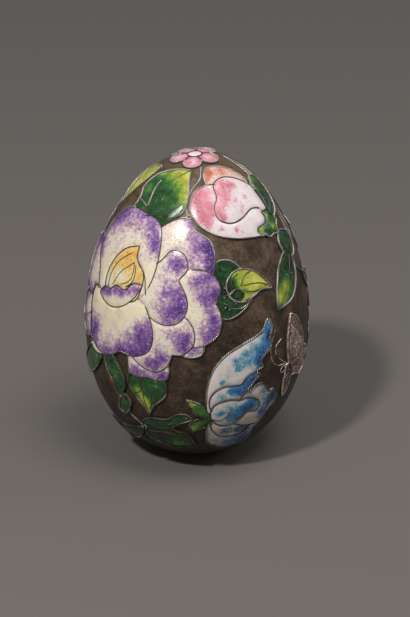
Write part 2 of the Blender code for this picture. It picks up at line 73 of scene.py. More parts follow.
def outward(points):
    """Square to the egg's surface at points on or near it: across by one, up by less the slope."""
    nudge = EGG_LENGTH / 2000
    along = np.clip(points[..., 2] - MID_HEIGHT, nudge - EGG_LENGTH / 2, EGG_LENGTH / 2 - nudge)
    slope = (egg_radius(along + nudge) - egg_radius(along - nudge)) / (2 * nudge)
    square = unit(points * (1, 1, 0))
    square[..., 2] = -slope
    return unit(square)


def surface(name, grids, around=False, marks=None):
    """Mesh with a face for each cell of one or more grids of points (rows, columns, xyz).

    A face looks the way of rows crossed with columns. around joins the last column to the first.
    Points that fall together, as at a pole, become one. marks are numbers kept at the points.
    """
    faces, start = [], 0
    for grid in grids:
        rows, columns = grid.shape[:2]
        index = start + np.arange(rows * columns).reshape(rows, columns)
        if around:
            index = np.column_stack([index, index[:, :1]])
        faces.append(np.stack([index[:-1, :-1], index[1:, :-1], index[1:, 1:], index[:-1, 1:]],
                              axis=-1).reshape(-1, 4))
        start += rows * columns
    mesh = bpy.data.meshes.new(name)
    mesh.from_pydata(np.vstack([grid.reshape(-1, 3) for grid in grids]).tolist(), [],
                     np.vstack(faces).tolist())
    for mark, values in (marks or {}).items():
        mesh.attributes.new(mark, "FLOAT", "POINT").data.foreach_set(
            "value", np.concatenate([np.ravel(v) for v in values]).astype(np.float32))
    shell = bmesh.new()
    shell.from_mesh(mesh)
    bmesh.ops.remove_doubles(shell, verts=shell.verts, dist=MERGE_REACH)
    for face in shell.faces:
        face.smooth = True
    shell.to_mesh(mesh)
    shell.free()
    made = bpy.data.objects.new(name, mesh)
    bpy.context.scene.collection.objects.link(made)
    return made


class Socket:
    """An output socket. An expression on it adds the Math nodes that work it out."""

    def __init__(self, finish, socket):
        self.finish = finish
        self.socket = socket

    def math(self, operation, first, second, clamp=False):
        """One Math node on two sockets or numbers."""
        return self.finish.node("ShaderNodeMath", {"operation": operation, "use_clamp": clamp},
                                {0: first, 1: second})

    def __add__(self, other):
        return self.math("ADD", self, other)

    def __sub__(self, other):
        return self.math("SUBTRACT", self, other)

    def __mul__(self, other):
        return self.math("MULTIPLY", self, other)

    def __rsub__(self, other):
        return self.math("SUBTRACT", other, self)

    __radd__ = __add__
    __rmul__ = __mul__

    def clamped(self):
        """The same, kept from 0 to 1."""
        return self.math("ADD", self, 0.0, True)


class Finish:
    """A material: the fixed values of its shader, and the nodes that vary it."""

    def __init__(self, name, **fixed):
        self.material = bpy.data.materials.new(name)
        self.material.use_nodes = True
        self.tree = self.material.node_tree
        self.shader = self.tree.nodes["Principled BSDF"]
        for socket, value in fixed.items():
            self.shader.inputs[socket.replace("_", " ")].default_value = value
        self.place = self.node("ShaderNodeTexCoord", out="Object")

    def node(self, kind, settings=None, inputs=None, out=0):
        """Adds a node: its type, its settings, the values or links of its sockets."""
        made = self.tree.nodes.new(kind)
        for setting, value in (settings or {}).items():
            if setting == "stops":
                while len(made.color_ramp.elements) < len(value):
                    made.color_ramp.elements.new(0.5)
                for element, (position, *colour) in zip(made.color_ramp.elements, value):
                    element.position = position
                    element.color = seen(*colour)
            else:
                setattr(made, setting, value)
        for socket, value in (inputs or {}).items():
            self.feed(made.inputs[socket], value)
        return Socket(self, made.outputs[out])

    def feed(self, socket, value):
        """Links or sets one socket."""
        if isinstance(value, Socket):
            self.tree.links.new(value.socket, socket)
        else:
            socket.default_value = value

    def noise(self, size, detail=2.0, roughness=0.5):
        """Cloudy number from 0 to 1 whose patches are about size across."""
        return self.node("ShaderNodeTexNoise", {}, {"Vector": self.place, "Scale": 1 / size,
                                                    "Detail": detail, "Roughness": roughness})

    def cells(self, size, out):
        """Cells about size across: the colour of each, or the distance from its middle."""
        return self.node("ShaderNodeTexVoronoi", {}, {"Vector": self.place, "Scale": 1 / size},
                         out=out)

    def height(self):
        """Height above the foot as a share of the egg's, from 0 to 1."""
        return self.node("ShaderNodeSeparateXYZ", {}, {0: self.place}, out="Z") * (1 / EGG_LENGTH)

    def mark(self, name):
        """Number kept at the points of the mesh."""
        return self.node("ShaderNodeAttribute", {"attribute_name": name}, out="Fac")

    def ramp(self, level, *stops):
        """Colour for a level, blended between stops of a position and a screen colour."""
        return self.node("ShaderNodeValToRGB", {"stops": stops}, {"Fac": level})

    def mix(self, share, first, second):
        """Blend of two colours."""
        return self.node("ShaderNodeMix", {"data_type": "RGBA"}, {0: share, 6: first, 7: second},
                         out=2)

    def bumps(self, height, depth):
        """Feeds a relief of that depth to the shader's normal."""
        self.feed(self.shader.inputs["Normal"], self.node(
            "ShaderNodeBump", {}, {"Height": height, "Distance": depth, "Strength": 1.0}))

    def vary(self, **sockets):
        """Feeds sockets of the shader."""
        for socket, value in sockets.items():
            self.feed(self.shader.inputs[socket.replace("_", " ")], value)


def seen(red, green, blue):
    """Linear colour, opaque, of a screen colour from 0 to 255."""
    share = np.array([red, green, blue]) / 255
    bright = ((share + 0.055) / 1.055) ** 2.4
    return (*np.where(share < 0.04045, share / 12.92, bright).tolist(), 1)


def fit(piece, finish, slot, *nodes):
    """Gives a piece its finish, sets it riding and lets it stand for CAD nodes. slot is not used.
    """
    piece.data.materials.append(finish.material)
    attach(piece, "root")
    if nodes:
        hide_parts(*nodes)


oxide = Finish("oxidised_metal", Metallic=0.3)
cloud = oxide.noise(0.005, 5, 0.65)
grit = oxide.noise(0.0009, 3, 0.6)
speck = ((oxide.noise(0.0006, 1) - 0.64) * 9).clamped()
# The brown is mottled at random, and painted lighter towards the top of the egg as painted light
# from above.
brown_and_painted_top_light = oxide.ramp(cloud * 0.9 + grit * 0.4 + oxide.height() * 0.27 - 0.28,
                   (0.3, 44, 35, 29), (0.5, 72, 58, 47), (0.7, 114, 92, 74))
oxide.vary(Base_Color=oxide.mix(speck * 0.3, brown_and_painted_top_light, seen(166, 150, 132)),
           Roughness=0.4 + grit * 0.22 - speck * 0.1)
oxide.bumps(grit + cloud * 0.6, 0.00012)

# The egg curve from its tip to the foot, then in to the middle of the foot, turned about the axis.
foot_angle = np.arccos(-MID_HEIGHT / (EGG_LENGTH / 2))
along = EGG_LENGTH / 2 * np.cos(np.linspace(0, foot_angle, EGG_ROWS))
profile = np.column_stack([egg_radius(along), along + MID_HEIGHT])
profile[0, 0] = 0
profile[-1, 1] = 0
profile = np.vstack([profile, [[profile[-1, 0] * 0.96, 0], [0, 0]]])
turn = np.linspace(0, 2 * np.pi, EGG_COLUMNS, endpoint=False)
grid = np.stack([profile[:, :1] * np.cos(turn), profile[:, :1] * np.sin(turn),
                 profile[:, 1:] * np.ones(EGG_COLUMNS)], axis=-1)
fit(surface("metal_egg", [grid], around=True), oxide, "ground_metal", "egg_body")


# The peony and the leaves behind it. Each field is crushed glass, packed between wires of two
# strands twisted together, fused, and polished, so that it swells a little and dips at the wires.
# Its ground runs from cream to violet, in grains. Thin flat wires part the folds inside a petal.
# Lifts are from the metal to the middle of a wire or to the face of the glass.
PLAN_UNIT = EGG_LENGTH / 100
WIRE_LIFT = 0.0006
SHARED_LIFT = 0.00058
STEM_LIFT = 0.0002
STRAND_REACH = 0.0003
STRIP_REACH, STRIP_THIN = 0.00017, 0.00005
TWIST_LENGTH = 0.0015
STRIP_STEP = 0.0004
GLASS_AT_WIRE = 0.00042
GLASS_MIDDLE = 0.00072
GLASS_TUCKED, GLASS_SUNK = -0.0001, 0.00012
GRAIN_SIZE = 0.00042

# In units of a drawing: the steps along outlines, loose lines and runs of wire, how far beyond an
# outline its neighbour is looked for, how far from a wire the glass takes to swell up, and how far
# it takes to level off and to sink where another field lies over it.
OUTLINE_STEP, LINE_STEP, RUN_STEP = 0.55, 0.4, 0.3
BEYOND_REACH = 0.9
FAR_OUTSIDE = -9.0
SWELL_REACH = 0.9
LEVEL_REACH = 1.2
SINK_START, SINK_REACH = 0.12, 0.35
AT_EDGE = 1e-4

# The egg curve as seen from the core: rise and reach from the axis, from its tip to its end.
sweep_along = EGG_LENGTH / 2 * np.cos(np.linspace(0, np.pi, 1441))
sweep_rise = sweep_along + GIRTH_DROP
sweep_radius = egg_radius(sweep_along)


def on_egg(directions, lift):
    """Points on the metal egg along directions from its core, raised squarely by lift."""
    angle = np.arccos(np.clip(directions[..., 2], -1, 1))
    reach = np.interp(angle, np.arctan2(sweep_radius, sweep_rise),
                      np.hypot(sweep_radius, sweep_rise))
    points = directions * reach[..., None] + (0, 0, CORE_HEIGHT)
    return points + outward(points) * np.asarray(lift)[..., None]


class Plan:
    """A flat drawing laid on the egg: u to the right, v upwards, from the place it touches.

    azimuth turns from the front to the right, rise goes up from the girth, and unit_angle is
    what one unit of the drawing spans, seen from the core. All are in degrees.
    """

    def __init__(self, azimuth, rise, unit_angle):
        turn, lean = np.radians(azimuth), np.radians(rise)
        self.out = np.array([np.sin(turn) * np.cos(lean), -np.cos(turn) * np.cos(lean),
                             np.sin(lean)])
        self.up = unit(np.array([0, 0, 1]) - self.out[2] * self.out)
        self.right = np.cross(self.up, self.out)
        self.unit = np.radians(unit_angle)

    def directions(self, drawing):
        """Directions from the core: as far round as the drawing's distance from its middle."""
        distance = np.maximum(np.linalg.norm(drawing, axis=-1, keepdims=True), 1e-9)
        angle = distance * self.unit
        aside = (drawing[..., :1] * self.right + drawing[..., 1:] * self.up) / distance
        return np.cos(angle) * self.out + np.sin(angle) * aside

    def drawing(self, directions):
        """Points of the drawing for directions from the core."""
        angle = np.arccos(np.clip(directions @ self.out, -1, 1))
        scale = angle / (self.unit * np.maximum(np.sin(angle), 1e-9))
        return np.stack([directions @ self.right * scale, directions @ self.up * scale], axis=-1)


def evenly(points, step):
    """Even steps of about that length along a line of points, both ends kept."""
    travelled = np.append(0, np.cumsum(np.linalg.norm(np.diff(points, axis=0), axis=1)))
    stops = np.linspace(0, travelled[-1], max(4, round(travelled[-1] / step)) + 1)
    return np.column_stack([np.interp(stops, travelled, line) for line in points.T])


def smooth(points, closed, step):
    """Even steps along the curve through the points.

    Each span is the cubic that sets out and arrives along the line past its end points.
    """
    points = np.array(points, float)
    first, last = 2 * points[:1] - points[1:2], 2 * points[-1:] - points[-2:-1]
    path = np.vstack([first, points, last])
    if closed:
        path = np.vstack([points[-1:], points, points[:2]])
    before, start, end, after = path[:-3], path[1:-2], path[2:-1], path[3:]
    span = np.linalg.norm(end - start, axis=1, keepdims=True)
    leave = (end - before) * span / (np.linalg.norm(start - before, axis=1, keepdims=True) + span)
    arrive = (after - start) * span / (np.linalg.norm(after - end, axis=1, keepdims=True) + span)
    t = np.linspace(0, 1, 24, endpoint=False)[:, None, None]
    curve = ((2 * t**3 - 3 * t**2 + 1) * start + (t**3 - 2 * t**2 + t) * leave
             + (3 * t**2 - 2 * t**3) * end + (t**3 - t**2) * arrive)
    curve = curve.transpose(1, 0, 2).reshape(-1, 2)
    return evenly(np.vstack([curve, points[:1] if closed else points[-1:]]), step)


def turns_left(loop):
    """Whether a closed line of points runs anticlockwise, from the area it sweeps."""
    ahead = np.roll(loop, -1, axis=0)
    return np.sum(loop[:, 0] * ahead[:, 1] - ahead[:, 0] * loop[:, 1]) > 0


def inside(loop, points):
    """Whether each point lies inside the loop, by counting the edges to its right."""
    x, y = points[..., 0, None], points[..., 1, None]
    x0, y0 = loop.T
    x1, y1 = np.roll(loop, -1, axis=0).T
    rise = np.where(y1 == y0, 1, y1 - y0)
    crossings = ((y0 > y) != (y1 > y)) & (x < x0 + (y - y0) * (x1 - x0) / rise)
    return np.sum(crossings, axis=-1) % 2 == 1


def distance_to(loop, points):
    """Distance from each point to the nearest edge of the loop."""
    start, edge = loop, np.roll(loop, -1, axis=0) - loop
    away = points[..., None, :] - start
    share = np.sum(away * edge, axis=-1) / np.maximum(np.sum(edge ** 2, axis=-1), 1e-12)
    share = np.clip(share, 0, 1)
    return np.min(np.linalg.norm(away - share[..., None] * edge, axis=-1), axis=-1)


def depth_under(loops, points):
    """How far each point lies inside the nearest of the loops, negative outside them all."""
    depth = np.full(points.shape[:-1], FAR_OUTSIDE)
    low, high = points.min(axis=(0, 1)) - 1, points.max(axis=(0, 1)) + 1
    for loop in loops:
        if np.all(loop.max(axis=0) > low) and np.all(loop.min(axis=0) < high):
            away = distance_to(loop, points)
            depth = np.maximum(depth, np.where(inside(loop, points), away, -away))
    return depth


# Rows of faces in a petal, least and most, and in a leaf, with its columns.
PETAL_ROWS = (9, 24)
LEAF_ROWS, LEAF_COLUMNS = 19, 64


class Field:
    """One glass field: its finish, plan, CAD node, slot, wash and the strokes of its outline.

    slot is the colour in the name of its slot. wash gives the level of colour: a start, spots
    (u, v, radius, amount) each added round its point, and, where the rim differs, the amount
    added at the outline and the depth over which that dies away.
    heart is the point a petal spreads from. A leaf has none: it is ruled between its two edges.
    bare are rounds (u, v, radius) in which no wire parts the field from its neighbour.
    """

    def __init__(self, finish, plan, node, slot, wash, *strokes, heart=None, bare=()):
        self.node, self.slot, self.plan, self.finish, self.wash = node, slot, plan, finish, wash
        self.heart, self.bare = heart, bare
        closed = len(strokes) == 1 and tuple(strokes[0][0]) != tuple(strokes[0][-1])
        self.edges = [smooth(stroke, closed, OUTLINE_STEP) for stroke in strokes]
        self.loop = np.vstack([edge[:-1] for edge in self.edges])

    def on(self, base):
        """The outline on another plan."""
        return base.drawing(self.plan.directions(self.loop))

    def grid(self):
        """Points of the field: from its heart out to the outline, or from edge to edge."""
        if self.heart is not None:
            loop = self.loop if turns_left(self.loop) else self.loop[::-1]
            reach = np.max(np.linalg.norm(loop - self.heart, axis=1))
            rings = int(np.clip(reach / OUTLINE_STEP, *PETAL_ROWS))
            share = np.sin(np.linspace(0, np.pi / 2, rings))
            return self.heart + (loop - self.heart) * share[:, None, None], True
        one, other = self.edges[0], self.edges[1][::-1]
        stops = np.linspace(0, 1, LEAF_COLUMNS)
        one, other = (np.column_stack([np.interp(stops, np.linspace(0, 1, len(line)), line[:, i])
                                       for i in (0, 1)]) for line in (one, other))
        share = (1 - np.cos(np.linspace(0, np.pi, LEAF_ROWS))) / 2
        if turns_left(self.loop):
            one, other = other, one
        return one + (other - one) * share[:, None, None], False


def level(field, drawn, edge):
    """Level of colour at a field's points: the start, plus a bell round each spot and a half
    bell in from the rim."""
    start, spots, *rim = field.wash
    rim, depth = rim or (0, 1)
    value = start + rim * np.exp(-(edge / depth) ** 2)
    for u, v, radius, amount in spots:
        value += amount * np.exp(-np.sum((drawn - (u, v)) ** 2, axis=-1) / radius ** 2)
    return value


def solid_of(name):
    """The solid of that name, where the piece has one."""
    return [name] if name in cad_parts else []


def lay_glass(field, base, over):
    """Sheet of glass: it rises from the wires to its middle, levels off beside the fields above
    and sinks under them. Its very edge is tucked into the metal."""
    drawn, around = field.grid()
    directions = field.plan.directions(drawn)
    edge = distance_to(field.loop, drawn)
    under = depth_under(over, base.drawing(directions))
    lift = GLASS_MIDDLE - (GLASS_MIDDLE - GLASS_AT_WIRE) * np.exp(-edge / SWELL_REACH)
    lift = np.where(edge < AT_EDGE, GLASS_TUCKED, lift)
    near = np.clip((under + LEVEL_REACH) / LEVEL_REACH, 0, 1)
    lift = lift - np.where(edge < AT_EDGE, 0, (lift - GLASS_AT_WIRE) * near ** 2)
    sink = np.clip((under + SINK_START) / SINK_REACH, 0, 1)
    sink = sink * sink * (3 - 2 * sink)
    lift = lift + (GLASS_SUNK - lift) * sink * (lift > 0)
    sheet = surface(field.node, [on_egg(directions, lift)], around,
                    {"level": [level(field, drawn, edge)], "edge": [edge * PLAN_UNIT]})
    fit(sheet, field.finish, "enamel_" + field.slot, *solid_of(field.node))
    sheet.name = field.node + "_glass"


def runs_of(field, loop, over, others):
    """The stretches of an outline that no field above hides: those against bare metal, then
    those with another field of the motif beyond them."""
    hidden = np.zeros(len(loop), bool)
    for other in over:
        hidden |= inside(other, loop)
    away = unit(np.roll(loop, -1, axis=0) - np.roll(loop, 1, axis=0)) @ [[0, -1], [1, 0]]
    beyond = loop + BEYOND_REACH * away * (1 if turns_left(loop) else -1)
    shared = np.zeros(len(loop), bool)
    for other in others:
        shared |= inside(other, beyond)
    for u, v, radius in field.bare:
        hidden |= shared & (np.linalg.norm(field.loop - (u, v), axis=1) < radius)
    kind = np.where(hidden, 2, shared.astype(int))
    changes = np.flatnonzero(kind != np.roll(kind, 1))
    if len(changes) == 0:
        whole = [np.vstack([loop, loop[:1]])]
        return (whole, []) if kind[0] == 0 else ([], whole)
    loop, kind = np.roll(loop, -changes[0], axis=0), np.roll(kind, -changes[0])
    ends = np.append(changes - changes[0], len(loop))
    around = np.vstack([loop[-1:], loop, loop[:1]])
    runs = [(kind[a], around[a:b + 2]) for a, b in zip(ends[:-1], ends[1:]) if b - a > 1]
    return [run for sort, run in runs if sort == 0], [run for sort, run in runs if sort == 1]


def tube(line, lift, section):
    """Section carried along a line on the egg, from a point at each end.

    section takes the distance along the line and gives, for each place round the tube, the
    radius, the angle off the outward direction, and how far it is on the crest of a strand.
    """
    travelled = np.append(0, np.cumsum(np.linalg.norm(np.diff(line, axis=0), axis=1)))
    ahead = unit(np.gradient(line, axis=0))
    out = outward(line)
    side = unit(np.cross(out, ahead))
    out = np.cross(ahead, side)
    radius, angle, mark = section(travelled[:, None])
    wall = (line[:, None] + (radius * np.cos(angle))[..., None] * out[:, None]
            + (radius * np.sin(angle))[..., None] * side[:, None])
    ends = [np.repeat(line[end][None, None], wall.shape[1], axis=1) for end in (0, -1)]
    return np.vstack([ends[0], wall, ends[1]]), np.vstack([mark[:1], mark, mark[-1:]])


def two_strands(travelled):
    """Section of two strands side by side, turned once round for every twist length."""
    angle = np.linspace(0, 2 * np.pi, 8, endpoint=False)
    crest = np.abs(np.cos(angle)) + 0 * travelled
    waist = 0.45
    return (STRAND_REACH * (waist + (1 - waist) * crest),
            angle + 2 * np.pi * travelled / TWIST_LENGTH, crest)


def flat_strip(travelled):
    """Low oval section, wider than it is high."""
    angle = np.linspace(0, 2 * np.pi, 6, endpoint=False) + 0 * travelled
    return STRIP_REACH - STRIP_THIN * np.abs(np.cos(angle)), angle, np.ones(angle.shape)


silver = Finish("twisted_wire", Metallic=0.65)
worn = silver.noise(0.004, 3)
crest = silver.mark("crest")
# The wires run from dark to near white. They are painted lighter towards the top, as painted light
# from above. On the crests of the strands it is partly polish and partly a painted glint, and at
# random it is wear.
rubbed_and_painted_light = (silver.height() + crest * 3.2 + worn * 3 - 4.2).clamped()
silver.vary(Base_Color=silver.mix(rubbed_and_painted_light, seen(58, 50, 44), seen(255, 252, 246)),
            Roughness=0.45 - crest * 0.2)
dark_wire = Finish("flat_wire", Metallic=0.6, Roughness=0.45)
dark_wire.vary(Base_Color=dark_wire.ramp(dark_wire.noise(0.003, 3), (0.3, 58, 48, 44),
                                         (0.7, 112, 98, 88)))


def lay_wires(name, base, runs, section, finish, lift, *nodes):
    """One piece of all the wires of a kind in a motif, soldered where they meet."""
    step = TWIST_LENGTH / 8 if section is two_strands else STRIP_STEP
    grids, marks = [], []
    for run in runs:
        line = evenly(on_egg(base.directions(evenly(run, RUN_STEP)), lift), step)
        grid, mark = tube(line, lift, section)
        grids.append(grid)
        marks.append(mark)
    wires = surface(name, grids, True, {"crest": marks})
    fit(wires, finish, "wire_metal", *nodes)


def lay_lines(name, base, groups, section=two_strands, finish=silver, lift=STEM_LIFT):
    """One piece of loose wires. Each group is a plan and the lines of points drawn on it."""
    lay_wires(name, base, [base.drawing(plan.directions(smooth(points, False, LINE_STEP)))
                           for plan, *lines in groups for points in lines], section, finish, lift)


def motif(name, base, fields, above=(), veins=(), bright=(), finish=silver):
    """Glass and wires of one motif. A field hides those after it; all run under those in above.

    Two strands run where a motif meets the metal, and a flat wire where two fields meet.
    veins are flat wires inside the fields, as groups of a plan and the lines drawn on it.
    bright are such wires of two strands, as bright as the outline.
    """
    over = [field.on(base) for field in above]
    loops = [field.on(base) for field in fields]
    outer, inner = [], []
    for index, field in enumerate(fields):
        lay_glass(field, base, over)
        others = loops[:index] + loops[index + 1:]
        against_metal, shared = runs_of(field, loops[index], over, others)
        outer += against_metal
        inner += shared
        over.append(loops[index])
    lay_wires(name + "_twisted", base, outer, two_strands, finish, WIRE_LIFT, *solid_of(name))
    if inner:
        lay_wires(name + "_between", base, inner, flat_strip, dark_wire, SHARED_LIFT)
    if veins:
        lay_lines(name + "_veins", base, veins, flat_strip, dark_wire, GLASS_MIDDLE)
    if bright:
        lay_lines(name + "_bright", base, bright, lift=GLASS_MIDDLE)


def glass(name, grain, *stops, tinge, roughness=0.13):
    """Polished glass: colour follows the level, and grains break it up most between two colours.

    tinge is a second colour that stains it here and there. White flecks, white dots that are
    partly bubbles and partly painted glints, dark pits and a dark rim along the wires lie over
    both.
    """
    made = Finish(name, Specular_IOR_Level=0.48)
    base = made.mark("level") + (made.noise(0.003, 3, 0.6) - 0.5) * 0.6
    middling = (1 - (base * 2 - 1) * (base * 2 - 1)).clamped() * 0.85 + 0.15
    cells = made.cells(GRAIN_SIZE, "Color")
    clots = made.noise(0.0013, 4, 0.7)
    broken = (cells - 0.5) * grain * 0.5 + (clots - 0.5) * grain * 3
    colour = made.mix(((made.noise(0.0045, 3, 0.7) - 0.5) * 4).clamped() * 0.4,
                      made.ramp(base + broken * middling, *stops), seen(*tinge))
    flecks = ((made.noise(0.0007, 3, 0.9) - 0.54) * 9).clamped()
    flecks = flecks * (base * 1.4).clamped() * grain ** 3 * 5
    pits = ((0.46 - made.noise(0.0008, 3, 0.9)) * 9).clamped() * (middling + base * 0.3)
    # White dots, partly bubbles in the glass and partly painted glints.
    bubbles_and_painted_glints = ((0.11 - made.cells(0.0021, "Distance")) * 14).clamped() * 0.7
    rim = (1 - made.mark("edge") * 4500).clamped()
    stained = made.mix((pits * 0.65 + rim * 0.5).clamped(), colour, seen(84, 62, 50))
    made.vary(Base_Color=made.mix((bubbles_and_painted_glints + flecks).clamped(), stained, seen(244, 238, 238)),
              Roughness=roughness + clots * 0.14)
    made.bumps(clots * 0.8 + cells * 0.2, 0.00013)
    return made


peony_glass = glass("peony_enamel", 0.42, (0.0, 238, 228, 196), (0.2, 236, 226, 208),
                    (0.36, 218, 198, 200), (0.5, 184, 152, 180), (0.66, 146, 108, 166),
                    (0.84, 112, 70, 152), (1.0, 82, 50, 122), tinge=(178, 128, 150))
gold_glass = glass("golden_enamel", 0.2, (0.0, 238, 232, 216), (0.35, 238, 216, 156),
                   (0.7, 236, 194, 108), (1.0, 214, 152, 70), tinge=(226, 200, 140))
leaf_glass = glass("leaf_enamel", 0.24, (0.0, 216, 212, 104), (0.3, 164, 176, 62),
                   (0.52, 82, 136, 52), (0.76, 32, 86, 42), (1.0, 11, 40, 22),
                   tinge=(56, 66, 26), roughness=0.06)

PEONY = Plan(azimuth=-28, rise=22.5, unit_angle=1.561)
ABOVE_PEONY = Plan(azimuth=-38, rise=64.5, unit_angle=1.174)
FAR_LEFT = Plan(azimuth=-62, rise=-12.9, unit_angle=1.605)
LOW = Plan(azimuth=-8, rise=-32, unit_angle=1.52)
RIGHT = Plan(azimuth=55, rise=9.8, unit_angle=1.609)

